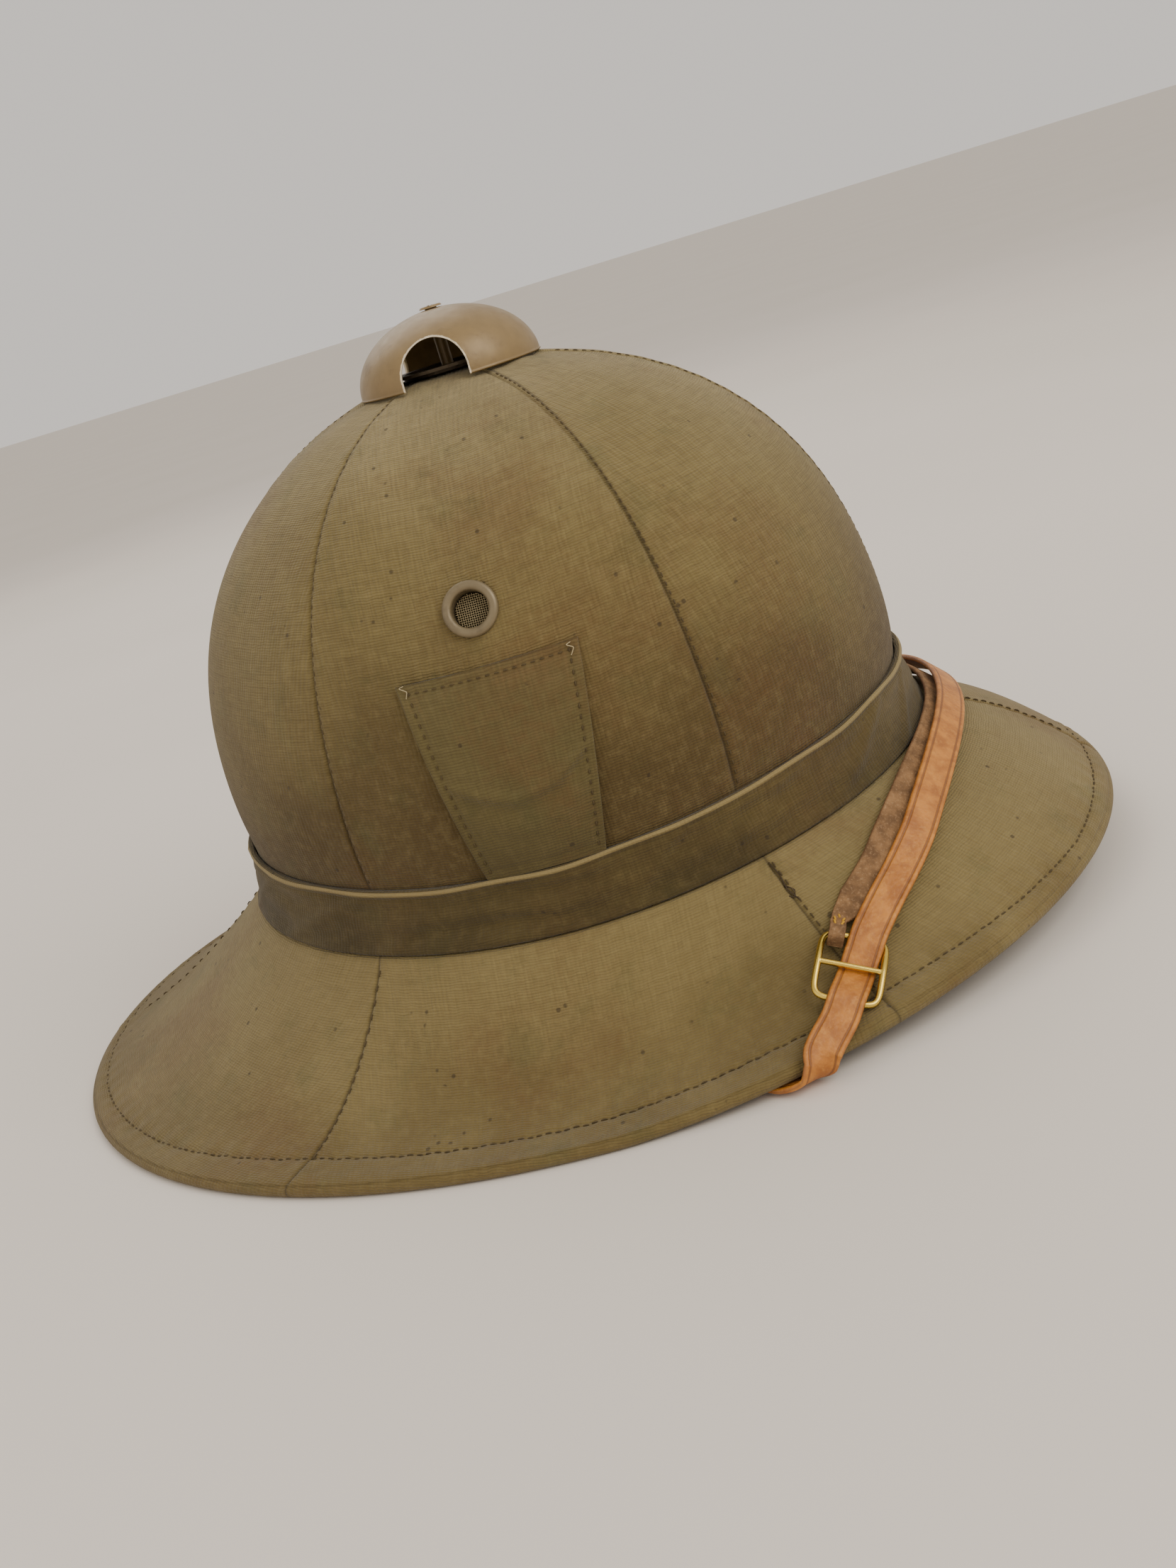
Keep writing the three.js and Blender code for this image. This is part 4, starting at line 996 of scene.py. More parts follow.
@dataclass
class Patch:
    """A trapezoid of cloth sewn over the foot of a side panel, with one soft wrinkle across it."""

    side: Side
    top_half_angle: float = 16.0
    foot_half_angle: float = 10.0
    top_level: float = 0.44
    foot_level: float = 0.002
    steps: int = 84

    def spot(self, s: Array, t: Array, lift: Array) -> Array:
        """Point on the patch: s runs from back (0) to front (1), t from foot (0) to top (1)."""
        half = mix(self.foot_half_angle, self.top_half_angle, t)
        angle = self.side.value * (90 + half * (1 - 2 * s))
        return SHAPE.on_crown(angle, mix(self.foot_level, self.top_level, t), lift)

    @staticmethod
    def relief(s: Array, t: Array) -> Array:
        """Turned-in edges stand proud, the stitch line pulls in, and a sagging wrinkle crosses the middle."""
        edge = np.minimum(np.minimum(s, 1 - s) * 44, np.minimum(t, 1 - t) * 56)
        line = np.interp(s, [0, 0.25, 0.45, 0.75, 1], [0.52, 0.42, 0.37, 0.42, 0.56])
        d = (t - line) * 56
        folds = 1.15 * smooth_bell(d, 1.7) - 0.55 * smooth_bell(d + 3.6, 2.0) + 0.5 * smooth_bell(d + 8.5, 2.6)
        high = 0.55 * smooth_bell(d - 11 + 8 * (s - 0.75) ** 2 * 4, 2.0) * np.clip(s * 2 - 0.7, 0, 1)
        wrinkle = (folds * (0.45 + 0.55 * s) + high) * np.clip(edge / 4, 0, 1)
        slack = 0.7 * np.sin(np.pi * s) * np.sin(np.pi * np.clip(t * 1.4, 0, 1))
        return 0.3 * np.clip(1 - edge / 3.2, 0, 1) - 0.3 * smooth_bell(edge - 2.4, 0.6) + wrinkle + slack

    def build(self, finish: bpy.types.Material) -> bpy.types.Object:
        """Makes the patch as a closed thin sheet."""
        s, t = np.meshgrid(np.linspace(0, 1, self.steps), np.linspace(0, 1, self.steps), indexing="ij")
        relief = self.relief(s, t)
        top = self.spot(s, t, 1.35 + relief)
        under = self.spot(s, t, np.full_like(s, 0.45))
        loop = np.concatenate([top, under[::-1]], axis=0).transpose(1, 0, 2)
        count = loop.shape[1]
        across = np.concatenate([s[:, 0], s[::-1, 0], s[:1, 0]]) * 0.044
        up = np.linspace(0, 0.056, self.steps + 1)
        uv = np.stack(np.meshgrid(up, across, indexing="ij")[::-1], axis=-1)[:, : count + 1]
        piece = MeshMaker.grid(f"side_patch_{self.side.label}", loop, uv, (False, True), capped=True)
        dress(piece, finish, "band_cloth", f"patch_{self.side.label}")
        return piece

    def stitching(self, finish: bpy.types.Material) -> bpy.types.Object:
        """Small stitches along the two sides and the top, 2.4 mm inside the edges."""
        inset_s, inset_t = 2.4 / 44, 2.4 / 56
        run = np.linspace(0, 1, 19)
        lo_s, hi_s = inset_s, 1 - inset_s
        s = np.concatenate([np.full(19, hi_s), mix(hi_s, lo_s, run), np.full(19, lo_s)])
        lo_t, hi_t = inset_t, 1 - inset_t
        t = np.concatenate([mix(lo_t, hi_t, run), np.full(19, hi_t), mix(hi_t, lo_t, run)])
        lift = 1.5 + self.relief(s, t)
        at, above = self.spot(s, t, lift), self.spot(s, t, lift + 1)
        ahead = np.roll(at, -1, axis=0)
        ahead[18::19] = 2 * at[18::19] - at[17::19]
        piece = MeshMaker.stitches(f"patch_stitching_{self.side.label}", at, ahead - at, above - at, (1.5, 0.2))
        return dress(piece, finish, "band_cloth")


@dataclass
class SideVent:
    """A rolled metal eyelet in the side of the crown with a disc of woven wire inside it."""

    side: Side
    wire_pitch: float = 0.62
    wire_radius: float = 0.13
    mesh_radius: float = 4.95
    mesh_depth: float = 2.4

    def build(self, ring: bpy.types.Material, wire: bpy.types.Material) -> list[bpy.types.Object]:
        """Makes the eyelet and its wire disc."""
        place, out = VentPlace(self.side).frame()
        turn = np.radians(np.linspace(-35, 200, 22))
        lip = np.stack([6.45 + 1.35 * np.cos(turn), 1.0 + 1.15 * np.sin(turn)], axis=1)
        tail = np.array([[5.2, -0.5], [5.15, -6.4], [6.0, -6.4], [6.1, 0.3]])
        eyelet = MeshMaker.turned(f"eyelet_{self.side.label}", np.vstack([lip, tail]), place, out, 96)
        dress(eyelet, ring, "painted_sheet", f"side_vent_{self.side.label}")
        across = unit(np.cross(np.array([0.0, 0.0, 1.0]), out))
        up = np.cross(out, across)
        offsets = np.arange(-7, 8) * self.wire_pitch
        reach = np.sqrt(self.mesh_radius**2 - offsets**2)
        run = np.linspace(-1, 1, 40)
        far, over = reach[:, None] * run[None], offsets[:, None] + 0 * run[None]
        parity = np.where(np.arange(len(offsets)) % 2, 1.0, -1.0)[:, None]
        depth = parity * self.wire_radius * 0.9 * np.cos(np.pi * far / self.wire_pitch) - self.mesh_depth
        centre = place[None, None]
        one = centre + far[..., None] * across + over[..., None] * up + depth[..., None] * out
        two = centre + far[..., None] * up + over[..., None] * across - (depth + 2 * self.mesh_depth)[..., None] * out
        paths = np.concatenate([one, two])
        disc = self.wires(f"wire_disc_{self.side.label}", paths, out)
        dress(disc, wire, "dark_metal", f"vent_mesh_{self.side.label}")
        return [eyelet, disc]

    def wires(self, name: str, paths: Array, out: Array) -> bpy.types.Object:
        """Square wires along many paths of the same number of points, as one object."""
        along = unit(np.gradient(paths, axis=1))
        side = unit(np.cross(along, out))
        other = np.cross(side, along)
        turn = np.array([45, 135, 225, 315]) * np.pi / 180
        ring = side[:, :, None] * np.cos(turn)[:, None] + other[:, :, None] * np.sin(turn)[:, None]
        points = paths[:, :, None] + self.wire_radius * ring
        k, n = paths.shape[:2]
        i, j = np.meshgrid(np.arange(n - 1), np.arange(4), indexing="ij")
        quad = np.stack([i * 4 + j, i * 4 + (j + 1) % 4, (i + 1) * 4 + (j + 1) % 4, (i + 1) * 4 + j], -1).reshape(-1, 4)
        ends = np.array([[3, 2, 1, 0], [n * 4 - 4, n * 4 - 3, n * 4 - 2, n * 4 - 1]])
        quad = np.vstack([quad, ends])
        probe = points[0].reshape(-1, 3)
        quad = quad if MeshMaker.outward(probe - probe.mean(axis=0), quad) else quad[:, ::-1]
        start = (np.arange(k) * n * 4)[:, None, None]
        flat = (points.reshape(-1, 3) + np.array([0, CENTRE_SHIFT, 0])) * MM
        return MeshMaker.build(name, flat, (quad[None] + start).reshape(-1, 4).tolist())


@dataclass
class Ventilator:
    """The domed top cap with a rolled lower edge and three arches cut in it; collar and screw stay as they are."""

    radius: float = 28.5
    height: float = 20.0
    sheet: float = 0.9
    base: float = 189.0
    back: float = 1.3
    arch_half_width: float = 10.0
    arch_straight: float = 2.5
    arch_height: float = 12.5
    arch_turns: tuple[float, float, float] = (60.0, 180.0, 300.0)

    def build(self, finish: bpy.types.Material) -> bpy.types.Object:
        """Makes the cap, cuts its arches and marks the bare metal round them."""
        t = np.radians(np.linspace(0, 85.4, 60))
        outer = np.stack([self.radius * np.cos(t), self.base + self.height * np.sin(t)], axis=1)
        scale = np.array([(self.radius - self.sheet) / self.radius, (self.height - self.sheet) / self.height])
        inner = outer * [scale[0], 1]
        inner[:, 1] = self.base + (outer[:, 1] - self.base) * scale[1]
        turn = np.radians(np.linspace(180, 360, 10))[1:-1]
        bead = np.stack([self.radius - 0.45 + 0.85 * np.cos(turn), self.base + 0.2 + 0.75 * np.sin(turn)], axis=1)
        profile = np.vstack([bead, outer, inner[::-1]])
        centre = np.array([0.0, self.back, 0.0])
        piece = MeshMaker.turned("ventilator_dome", profile, centre, np.array([0.0, 0.0, 1.0]), 192)
        cut_away(piece, [self.cutter(turn) for turn in self.arch_turns])
        points = read_points(piece)
        a = np.radians(np.array(self.arch_turns))[:, None]
        x, y = points[:, 0], points[:, 1] - self.back
        forward, aside = x * np.cos(a) + y * np.sin(a), (y * np.cos(a) - x * np.sin(a)) / self.arch_half_width
        rise = np.maximum(points[:, 2] - self.base - self.arch_straight, 0) / (self.arch_height - self.arch_straight)
        from_edge = np.abs(np.hypot(aside, rise) - 1) * 9
        edge = np.clip(1 - from_edge / 1.0, 0, 1) * (forward > 12)
        write_attribute(piece, "edge", edge.max(axis=0))
        return dress(piece, finish, "painted_sheet", "ventilator_cap")

    def cutter(self, way: float) -> bpy.types.Object:
        """A long arch-shaped bar through the dome's side, turned to lie along a direction in degrees from +X."""
        turn = np.radians(np.linspace(0, 180, 33))
        y = np.concatenate([[self.arch_half_width], self.arch_half_width * np.cos(turn), [-self.arch_half_width]])
        rise = (self.arch_height - self.arch_straight) * np.sin(turn)
        z = np.concatenate([[-4.0], self.arch_straight + rise, [-4.0]])
        x, y = np.repeat(np.array([12.0, 45.0]), len(y)), np.tile(y, 2)
        c, s = np.cos(np.radians(way)), np.sin(np.radians(way))
        points = np.stack([x * c - y * s, x * s + y * c + self.back, np.tile(z + self.base, 2)], axis=1)
        uv = np.zeros((3, len(z) + 1, 2))
        return MeshMaker.grid("arch", points.reshape(2, -1, 3), uv, (False, True), capped=True)


@dataclass
class BuckleFrame:
    """The place of a three-bar slide on the brim: its middle, the way up the strap, across it and out."""

    side: Side
    length: float = 22.0
    width: float = 19.0
    wire: float = 0.9

    def __post_init__(self) -> None:
        """Works out the frame from three points of the strap's run."""
        sign = self.side.value
        self.middle = SHAPE.on_brim(np.array(57.9 * sign), np.array(0.68), 0.0)
        foot = SHAPE.on_brim(np.array(60.8 * sign), np.array(0.82), 0.0)
        head = SHAPE.on_brim(np.array(54.9 * sign), np.array(0.567), 0.0)
        self.out = unit(SHAPE.on_brim(np.array(57.9 * sign), np.array(0.68), 1.0) - self.middle)
        up = head - foot
        self.up = unit(up - self.out * float(up @ self.out))
        self.across = unit(np.cross(self.up, self.out) * sign)

    @property
    def bars(self) -> tuple[float, float, float]:
        """Heights of the foot, centre and head bars over the brim."""
        return (2.4, 4.3, 3.9) if self.side is Side.RIGHT else (5.4, 2.4, 5.9)

    def at(self, up: Array, across: Array, lift: Array) -> Array:
        """Points at distances up the strap, across it (towards the crown) and off the brim."""
        up, across, lift = np.broadcast_arrays(up, across, lift)
        return self.middle + up[..., None] * self.up + across[..., None] * self.across + lift[..., None] * self.out

    def height(self, up: Array) -> Array:
        """Height of the rails: straight from foot bar to head bar, bowed by cos^2 to carry the centre bar."""
        foot, centre, head = self.bars
        half = self.length / 2 - self.wire
        bow = centre - (foot + head) / 2
        return mix(foot, head, (up / half + 1) / 2) + bow * np.cos(up / half * np.pi / 2) ** 2

    def build(self, finish: bpy.types.Material) -> bpy.types.Object:
        """Makes the slide: a rounded rectangle of wire with a centre bar, joined into one piece."""
        half_up, half_across = self.length / 2 - self.wire, self.width / 2 - self.wire
        turn = np.linspace(0, 2 * np.pi, 144, endpoint=False)
        c, s = np.cos(turn), np.sin(turn)
        reach = (np.abs(c) ** 6 + np.abs(s) ** 6) ** (-1 / 6)
        up = half_up * c * reach
        loop = self.at(up, half_across * s * reach, self.height(up))
        ring = MeshMaker.tube(f"slide_{self.side.label}", loop, np.array(self.wire), self.out, True)
        across = np.linspace(-half_across, half_across, 24)
        bar_path = self.at(np.zeros(24), across, np.full(24, float(self.height(np.array(0.0)))))
        bar = MeshMaker.tube(f"bar_{self.side.label}", bar_path, np.array(self.wire * 0.92), self.out, False)
        join = ring.modifiers.new("join", "BOOLEAN")
        join.operation, join.solver, join.object = "UNION", "EXACT", bar
        bpy.context.view_layer.update()
        mesh = bpy.data.meshes.new_from_object(ring.evaluated_get(bpy.context.evaluated_depsgraph_get()))
        ring.modifiers.clear()
        ring.data = mesh
        bpy.data.objects.remove(bar)
        return dress(ring, finish, "brass", f"buckle_{self.side.label}")


@dataclass
class Stations:
    """Places along a strap: middle, direction of its outer face, width and thickness."""

    points: list
    normals: list
    widths: list
    thicknesses: list

    def add(self, point: Array, normal: Array, width: float = 10.0, thickness: float = 1.6) -> None:
        """Adds one place."""
        self.points.append(point)
        self.normals.append(unit(normal))
        self.widths.append(width)
        self.thicknesses.append(thickness)

    def reversed(self) -> "Stations":
        """The same places from the other end."""
        return Stations(self.points[::-1], self.normals[::-1], self.widths[::-1], self.thicknesses[::-1])


class ChinStrap:
    """The two leather straps of the chin strap, worn up over the front of the brim."""

    UNDER = ((88.0, 0.1), (84.4, 0.27), (80.0, 0.46), (75.8, 0.64), (72.0, 0.8))
    EDGE = ((69.5, -4.5, -1.5, -90), (67.6, 0.3, -0.7, -60), (66.6, 1.9, 2.0, -5), (65.8, 1.0, 5.2, 50))
    OUTER = (
        (39.0, 0.365, 4.0, 3), (33.0, 0.285, 4.1, 7), (25.8, 0.215, 4.4, 13), (17.0, 0.165, 5.0, 20),
        (8.0, 0.145, 5.4, 25), (0.0, 0.14, 5.6, 26),
    )
    INNER = (
        (45.7, 0.338, 1.9, 2), (40.8, 0.267, 1.9, 5), (34.8, 0.198, 2.0, 9), (27.4, 0.137, 2.3, 15),
        (18.0, 0.1, 2.9, 21), (8.0, 0.086, 3.3, 25), (0.0, 0.082, 3.4, 26),
    )
    THROUGH_RIGHT = (
        (-15.5, 0.4, 2.9), (-10.1, -0.4, 4.4), (-5.0, -1.2, 3.2), (0.0, -1.9, 2.2), (5.0, -2.6, 4.0),
        (10.1, -3.3, 6.0), (16.0, -4.6, 7.0), (23.0, -6.4, 8.0), (34.0, -9.4, 9.2),
    )
    THROUGH_LEFT = (
        (-15.5, 0.2, 3.4), (-10.1, 0.5, 3.2), (-5.0, 0.8, 3.6), (0.0, 1.0, 4.6), (5.0, 1.0, 3.9),
        (10.1, 1.0, 3.6), (16.0, 0.8, 4.6), (23.0, 0.2, 5.8),
    )
    ON_TO_LEFT = ((34.0, -9.5, 9.2), (23.0, -7.0, 8.2))
    ON_TO_RIGHT = ((22.0, 1.5, 5.7),)
    LOOP_WIDTH = 4.4
    LOOP_THICKNESS = 1.0
    STEPS = 700

    def over_brim(self, run: Stations, angle: float, v: float, lift: float, tilt: float) -> None:
        """Adds a place over the brim, its face turned down from the brim's normal by the tilt."""
        r, z = (float(x) for x in SHAPE.brim_top(np.array(angle), np.array(v)))
        nr, nz = (float(x) for x in SHAPE.brim_normal(np.array(angle), np.array(v)))
        turned = np.arctan2(nz, nr) - np.radians(tilt)
        normal = around(np.array(angle), np.cos(turned), np.sin(turned))
        run.add(around(np.array(angle), r + nr * lift, z + nz * lift), normal)

    def tail(self, side: Side) -> Stations:
        """From inside the crown's foot, under the brim and round its edge."""
        run = Stations([], [], [], [])
        angle = np.array(91.0 * side.value)
        for above in (30.0, 20.0, 10.0, 2.0):
            z = float(SHAPE.band_foot(angle)) + above
            top = float(SHAPE.band_top(angle))
            level = max(0.0, (z - top) / (SHAPE.band_top_z + SHAPE.crown_rise - top))
            flare = SHAPE.band_flare * max(0.0, 1 - above / SHAPE.band_width)
            r = float(SHAPE.crown_outside(angle, np.array(level))[0]) + flare - SHAPE.wall - 3.4
            run.add(around(angle, r, z), around(angle, -1.0, 0.0))
        for turn, v in self.UNDER:
            self.over_brim(run, turn * side.value, v, -SHAPE.brim_wall - 1.9, 0)
            run.normals[-1] = -run.normals[-1]
        for turn, out, up, face in self.EDGE:
            place = np.array(turn * side.value)
            normal = around(place, np.cos(np.radians(face)), np.sin(np.radians(face)))
            r, z = float(SHAPE.brim_radius(place)) + out, float(SHAPE.brim_rise(place)) + up
            run.add(around(place, r, z), normal)
        return run

    def front(self, table: tuple) -> Stations:
        """Round the front from above the right slide to above the left one."""
        run = Stations([], [], [], [])
        for angle, v, lift, tilt in table:
            self.over_brim(run, -angle, v, lift, tilt)
        for angle, v, lift, tilt in table[-2::-1]:
            self.over_brim(run, angle, v, lift, tilt)
        return run

    @staticmethod
    def at_slide(slide: BuckleFrame, table: tuple) -> Stations:
        """Places given in a slide's own frame, facing out from the brim."""
        run = Stations([], [], [], [])
        for up, across, lift in table:
            run.add(slide.at(np.array(up), np.array(across), np.array(lift)), slide.out)
        return run

    def sewn_end(self, frame_: BuckleFrame, across: float) -> Stations:
        """The narrowed end that climbs onto the head bar and folds over it."""
        run = Stations([], [], [], [])
        half, bar = frame_.length / 2 - frame_.wire, frame_.bars[2]
        reach = frame_.wire + 1.9 + self.LOOP_THICKNESS / 2
        down = -frame_.up
        for up, lift, normal in (
            (half + 4, bar + reach * 0.42, frame_.out),
            (half, bar + reach, frame_.out),
            (half - reach * 0.85, bar + reach * 0.85, frame_.out + down),
            (half - reach * 1.1, bar - 0.4, down),
        ):
            point = frame_.at(np.array(up), np.array(across), np.array(lift))
            run.add(point, normal, self.LOOP_WIDTH, self.LOOP_THICKNESS)
        return run

    @staticmethod
    def joined(*runs: Stations) -> Stations:
        """Several runs end to end."""
        total = Stations([], [], [], [])
        for run in runs:
            total.points += run.points
            total.normals += run.normals
            total.widths += run.widths
            total.thicknesses += run.thicknesses
        return total

    def curve(self, stations: Stations) -> tuple[Array, Array, Array, Array]:
        """Smooth path through the places: a centripetal Catmull-Rom curve; faces and sizes blend between places."""
        p = np.array(stations.points)
        p = np.vstack([2 * p[0] - p[1], p, 2 * p[-1] - p[-2]])
        x = np.linspace(0, len(p) - 3, self.STEPS)
        k = np.minimum(np.floor(x).astype(int), len(p) - 4)
        u = (x - k)[:, None]
        q = [p[k + i] for i in range(4)]
        gap = [np.sqrt(np.linalg.norm(q[i + 1] - q[i], axis=1, keepdims=True)) for i in range(3)]
        t0 = np.zeros_like(u)
        t1, t2 = gap[0], gap[0] + gap[1]
        t3 = t2 + gap[2]
        t = t1 + u * (t2 - t1)
        a1 = q[0] + (q[1] - q[0]) * (t - t0) / (t1 - t0)
        a2 = q[1] + (q[2] - q[1]) * (t - t1) / (t2 - t1)
        a3 = q[2] + (q[3] - q[2]) * (t - t2) / (t3 - t2)
        b1 = a1 + (a2 - a1) * (t - t0) / (t2 - t0)
        b2 = a2 + (a3 - a2) * (t - t1) / (t3 - t1)
        path = b1 + (b2 - b1) * (t - t1) / (t2 - t1)
        f = (x - k)[:, None]
        n = np.array(stations.normals)
        normals = unit(mix(n[k], n[k + 1], f))
        w, h = np.array(stations.widths), np.array(stations.thicknesses)
        return path, normals, mix(w[k], w[k + 1], f[:, 0]), mix(h[k], h[k + 1], f[:, 0])

    def strip(self, name: str, stations: Stations) -> bpy.types.Object:
        """A strap along the places: a flat section with rounded edges and a pressed line near each edge."""
        path, normals, width, thickness = self.curve(stations)
        along = unit(np.gradient(path, axis=0))
        across = unit(np.cross(normals, along))
        out = np.cross(along, across)
        x = np.linspace(-1, 1, 27)
        edge = np.sqrt(np.clip(1 - np.clip((np.abs(x) - 0.86) / 0.14, 0, 1) ** 2, 0, 1))
        face = edge - 0.16 * smooth_bell(np.abs(x) - 0.68, 0.045)
        sx = np.concatenate([x, x[-2:0:-1]])
        sy = np.concatenate([face, -edge[-2:0:-1]])
        points = (
            path[:, None]
            + across[:, None] * (sx[None] * width[:, None] / 2)[..., None]
            + out[:, None] * (sy[None] * thickness[:, None] / 2)[..., None]
        )
        s = np.concatenate([[0], np.cumsum(np.linalg.norm(np.diff(path, axis=0), axis=1))])
        s = np.append(s, s[-1])
        v = np.append(sx, sx[0]) * 5.0
        uv = np.stack(np.meshgrid(s, v, indexing="ij"), axis=-1) * MM
        return MeshMaker.grid(name, points, uv, (False, True), capped=True)

    def build(self, outer: bpy.types.Material, inner: bpy.types.Material) -> list[bpy.types.Object]:
        """Makes both straps on their routes through the slides."""
        right, left = BuckleFrame(Side.RIGHT), BuckleFrame(Side.LEFT)
        one = self.joined(
            self.tail(Side.RIGHT), self.at_slide(right, self.THROUGH_RIGHT), self.front(self.OUTER),
            self.at_slide(left, self.ON_TO_LEFT), self.sewn_end(left, -5.2),
        )
        two = self.joined(
            self.tail(Side.LEFT), self.at_slide(left, self.THROUGH_LEFT), self.front(self.INNER).reversed(),
            self.at_slide(right, self.ON_TO_RIGHT), self.sewn_end(right, 5.0),
        )
        tan = dress(self.strip("chin_strap_outer", one), outer, "strap_leather", "strap_outer")
        grey = dress(self.strip("chin_strap_inner", two), inner, "strap_suede", "strap_inner")
        return [tan, grey]

    def thread(self, finish: bpy.types.Material) -> bpy.types.Object:
        """Yellow stitches across each narrowed end, just above its slide."""
        at, along, out = [], [], []
        for side, across in ((Side.RIGHT, 5.0), (Side.LEFT, -5.2)):
            slide = BuckleFrame(side)
            half = slide.length / 2 - slide.wire
            for up, shift in ((1.5, -1.1), (1.5, 1.1), (3.4, -1.2), (3.4, 1.2), (5.2, 0.2)):
                lift = slide.bars[2] + 3.3 * (1 - 0.145 * up) + 0.75
                at.append(slide.at(np.array(half + up), np.array(across + shift), np.array(lift)))
                along.append(slide.up + 0.3 * slide.across * np.sign(shift) - 0.35 * slide.out)
                out.append(slide.out)
        piece = MeshMaker.stitches("strap_thread", np.array(at), np.array(along), np.array(out), (2.2, 0.32))
        return dress(piece, finish, "strap_leather")


class LooseThreads:
    """A few frayed thread ends: dark ones at a brim seam, pale ones at the patches' top corners."""

    def strand(self, name: str, path: Array, radius: float, out: Array, finish: bpy.types.Material, slot: str) -> None:
        """One thin thread along a path of points that is smoothed by blending neighbours."""
        fine = np.linspace(0, len(path) - 1, 40)
        smooth = np.stack([np.interp(fine, np.arange(len(path)), path[:, k]) for k in range(3)], axis=1)
        for _ in range(6):
            smooth[1:-1] = (smooth[:-2] + 2 * smooth[1:-1] + smooth[2:]) / 4
        dress(MeshMaker.tube(name, smooth, np.array(radius), out, False, 6), finish, slot)

    def build(self, dark: bpy.types.Material, pale: bpy.types.Material) -> None:
        """Makes the thread ends."""
        brim_ends = (
            ((-56.9, 0.03), (-56.7, 0.1), (-57.1, 0.17), (-56.5, 0.24)),
            ((-57.0, 0.15), (-56.2, 0.19), (-56.9, 0.22), (-57.4, 0.2)),
        )
        for k, run in enumerate(brim_ends):
            table = np.array(run)
            lift = np.array([0.2, 0.4, 0.5, 0.3])
            path = SHAPE.on_brim(table[:, 0], table[:, 1], lift)
            out = unit(SHAPE.on_brim(table[:1, 0], table[:1, 1], lift[:1] + 1) - path[:1])[0]
            self.strand(f"loose_brim_thread_{k}", path, 0.2, out, dark, "cover_cloth")
        for side in Side:
            patch = Patch(side)
            for k, (s, t) in enumerate(((0.04, 0.97), (0.95, 0.96))):
                ss = np.array([s, s + 0.02, s - 0.02, s + 0.015])
                tt = np.array([t - 0.03, t, t + 0.02, t + 0.03])
                path = patch.spot(ss, tt, np.array([1.7, 2.0, 2.1, 1.3]))
                out = np.array([side.value, 0.0, 0.3])
                self.strand(f"loose_patch_thread_{side.label}_{k}", path, 0.14, out, pale, "band_cloth")


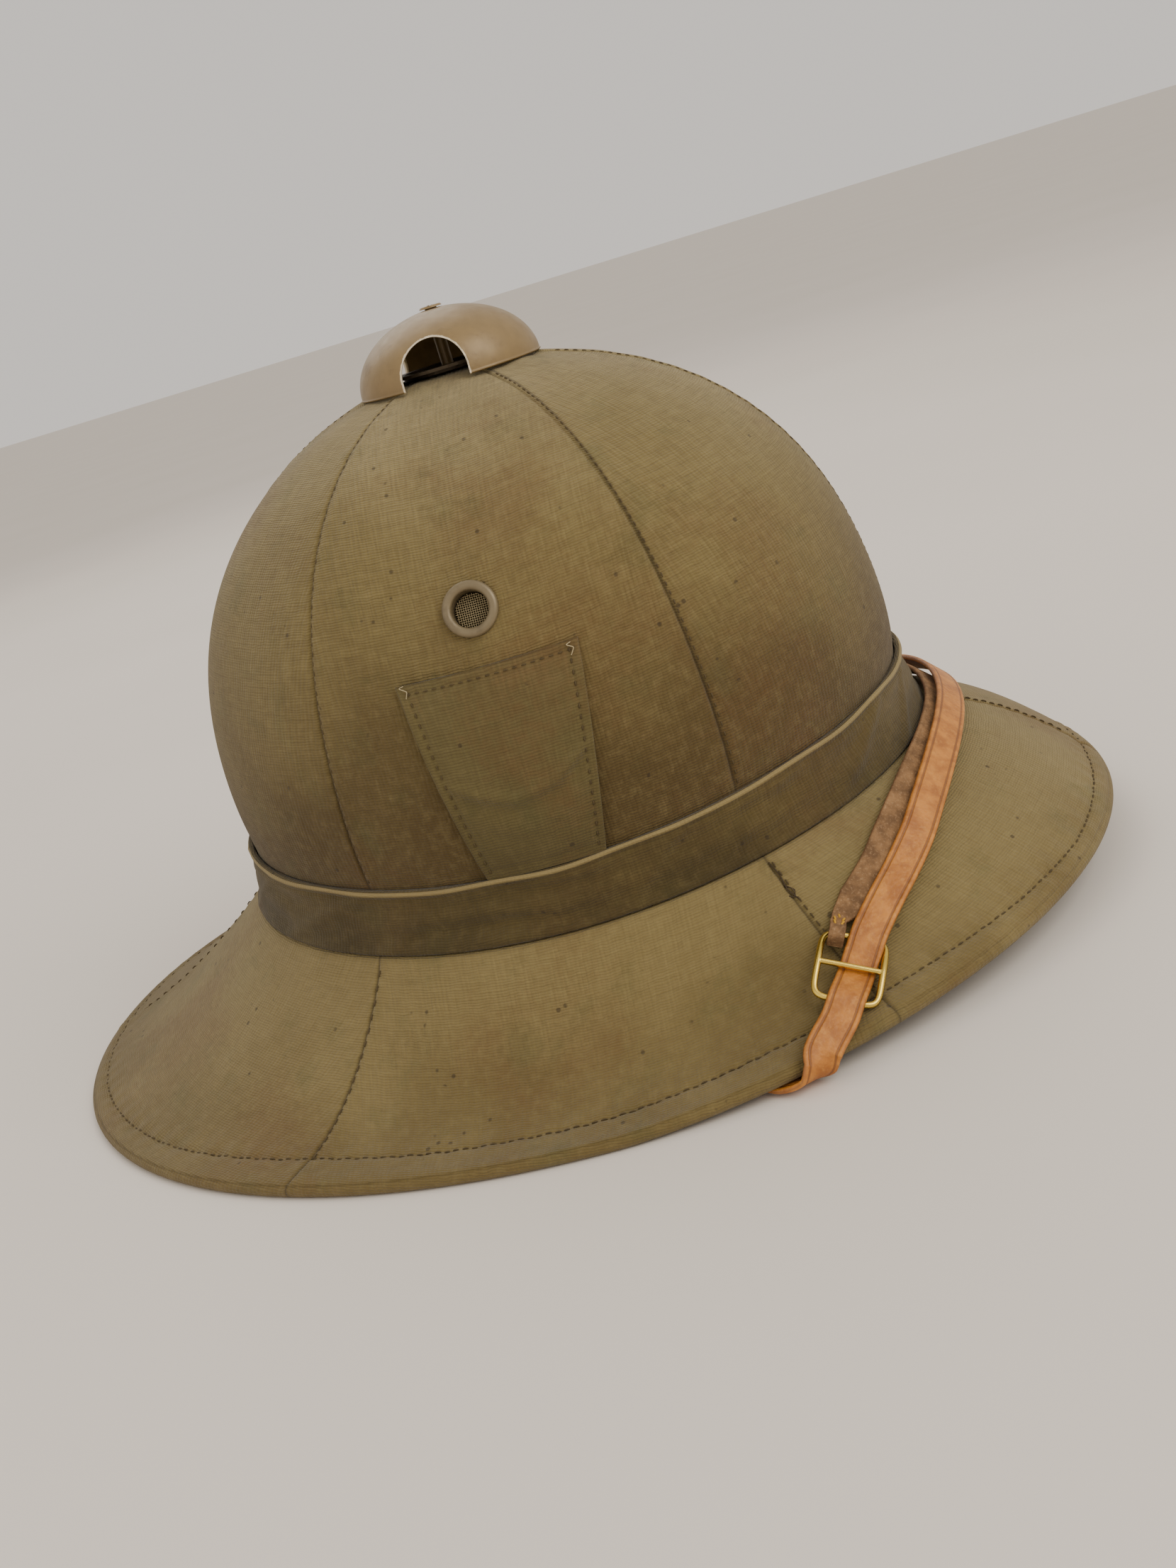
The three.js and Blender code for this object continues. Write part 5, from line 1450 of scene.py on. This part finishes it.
class Studio:
    """Pale floor, soft lights, even sky and the camera."""

    EYE = (-0.4906, -0.0945, 0.2097)
    RIGHT = (0.06546, -0.95718, -0.28199)
    UP = (0.33725, -0.24474, 0.90905)
    BACK = (-0.93914, -0.15461, 0.30679)
    LENS = 35.84

    def build(self) -> None:
        """Makes the floor, the lights and the camera."""
        self.floor()
        self.light("key", (-0.75, -1.25, 1.35), 20.0, 1.3, (1.0, 0.96, 0.9))
        self.light("fill", (-1.4, 0.9, 0.8), 5.0, 1.8, (1.0, 0.97, 0.93))
        self.light("rim", (1.2, 0.6, 1.4), 9.0, 1.4, (1.0, 0.98, 0.95))
        world = bpy.data.worlds.new("sky")
        world.use_nodes = True
        world.node_tree.nodes["Background"].inputs[0].default_value = (0.95, 0.89, 0.83, 1.0)
        world.node_tree.nodes["Background"].inputs[1].default_value = 0.85
        bpy.context.scene.world = world
        self.camera()

    def floor(self) -> None:
        """A wide flat floor at the helmet's resting height."""
        half, n = 40.0, 3
        x, y = np.meshgrid(np.linspace(-half, half, n), np.linspace(-half, half, n), indexing="ij")
        points = np.stack([x, y, 0 * x], axis=-1).reshape(-1, 3)
        polygons = [[0, 3, 4, 1], [1, 4, 5, 2], [3, 6, 7, 4], [4, 7, 8, 5]]
        plane = MeshMaker.build("floor", points, polygons)
        material, n2, shader = fresh_material("floor_paper")
        spot = n2.add("ShaderNodeTexCoord").outputs["Object"]
        tone = n2.blend(n2.noise(spot, 3.0, 2.0), linear(222, 214, 203), linear(229, 221, 211))
        n2.tree.links.new(tone, shader.inputs["Base Color"])
        shader.inputs["Roughness"].default_value = 0.85
        plane.data.materials.append(material)

    @staticmethod
    def light(name: str, place: Rgb, power: float, size: float, colour: Rgb) -> None:
        """A square soft light that looks at the helmet."""
        lamp = bpy.data.lights.new(name, "AREA")
        lamp.energy, lamp.size, lamp.color = power, size, colour
        holder = bpy.data.objects.new(name, lamp)
        bpy.context.scene.collection.objects.link(holder)
        back = unit(np.array(place) - np.array([0.0, 0.0, 0.1]))
        right = unit(np.cross(np.array([0.0, 0.0, 1.0]), back))
        up = np.cross(back, right)
        holder.matrix_world = Matrix(
            [[right[i], up[i], back[i], place[i]] for i in range(3)] + [[0, 0, 0, 1]]
        )

    def camera(self) -> None:
        """The camera, from its own axes."""
        data = bpy.data.cameras.new("camera")
        data.lens, data.sensor_width, data.sensor_fit = self.LENS, 36.0, "AUTO"
        data.clip_start, data.clip_end = 0.01, 50.0
        holder = bpy.data.objects.new("camera", data)
        bpy.context.scene.collection.objects.link(holder)
        rows = [[self.RIGHT[i], self.UP[i], self.BACK[i], self.EYE[i]] for i in range(3)]
        holder.matrix_world = Matrix(rows + [[0, 0, 0, 1]])
        bpy.context.scene.camera = holder


def main() -> None:
    """Builds every piece in order."""
    logging.basicConfig(level=logging.INFO, format="%(message)s")
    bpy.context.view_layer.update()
    finishes = Finishes()
    Studio().build()
    crown, brim = Crown(), Brim()
    crown.build(finishes.crown)
    crown.stitching(finishes.khaki_thread)
    LOG.info("crown")
    brim.build(finishes.brim)
    brim.stitching(finishes.khaki_thread)
    LOG.info("brim")
    Band().build(finishes.band)
    LOG.info("band")
    for side in Side:
        patch = Patch(side)
        patch.build(finishes.patch)
        patch.stitching(finishes.khaki_thread)
        SideVent(side).build(finishes.vent, finishes.wire)
        BuckleFrame(side).build(finishes.brass)
        LOG.info("patch, vent and slide, %s", side.label)
    Ventilator().build(finishes.paint)
    nodes = frame["nodes"]
    for name, finish in (("ventilator_collar", finishes.dark_metal), ("ventilator_screw", finishes.paint)):
        nodes[name].data.materials.clear()
        nodes[name].data.materials.append(finish)
    LOG.info("ventilator")
    strap = ChinStrap()
    strap.build(finishes.leather, finishes.suede)
    strap.thread(finishes.yellow_thread)
    LOG.info("chin strap")
    LooseThreads().build(finishes.dark_thread, finishes.pale_thread)


if __name__ == "__main__":
    main()
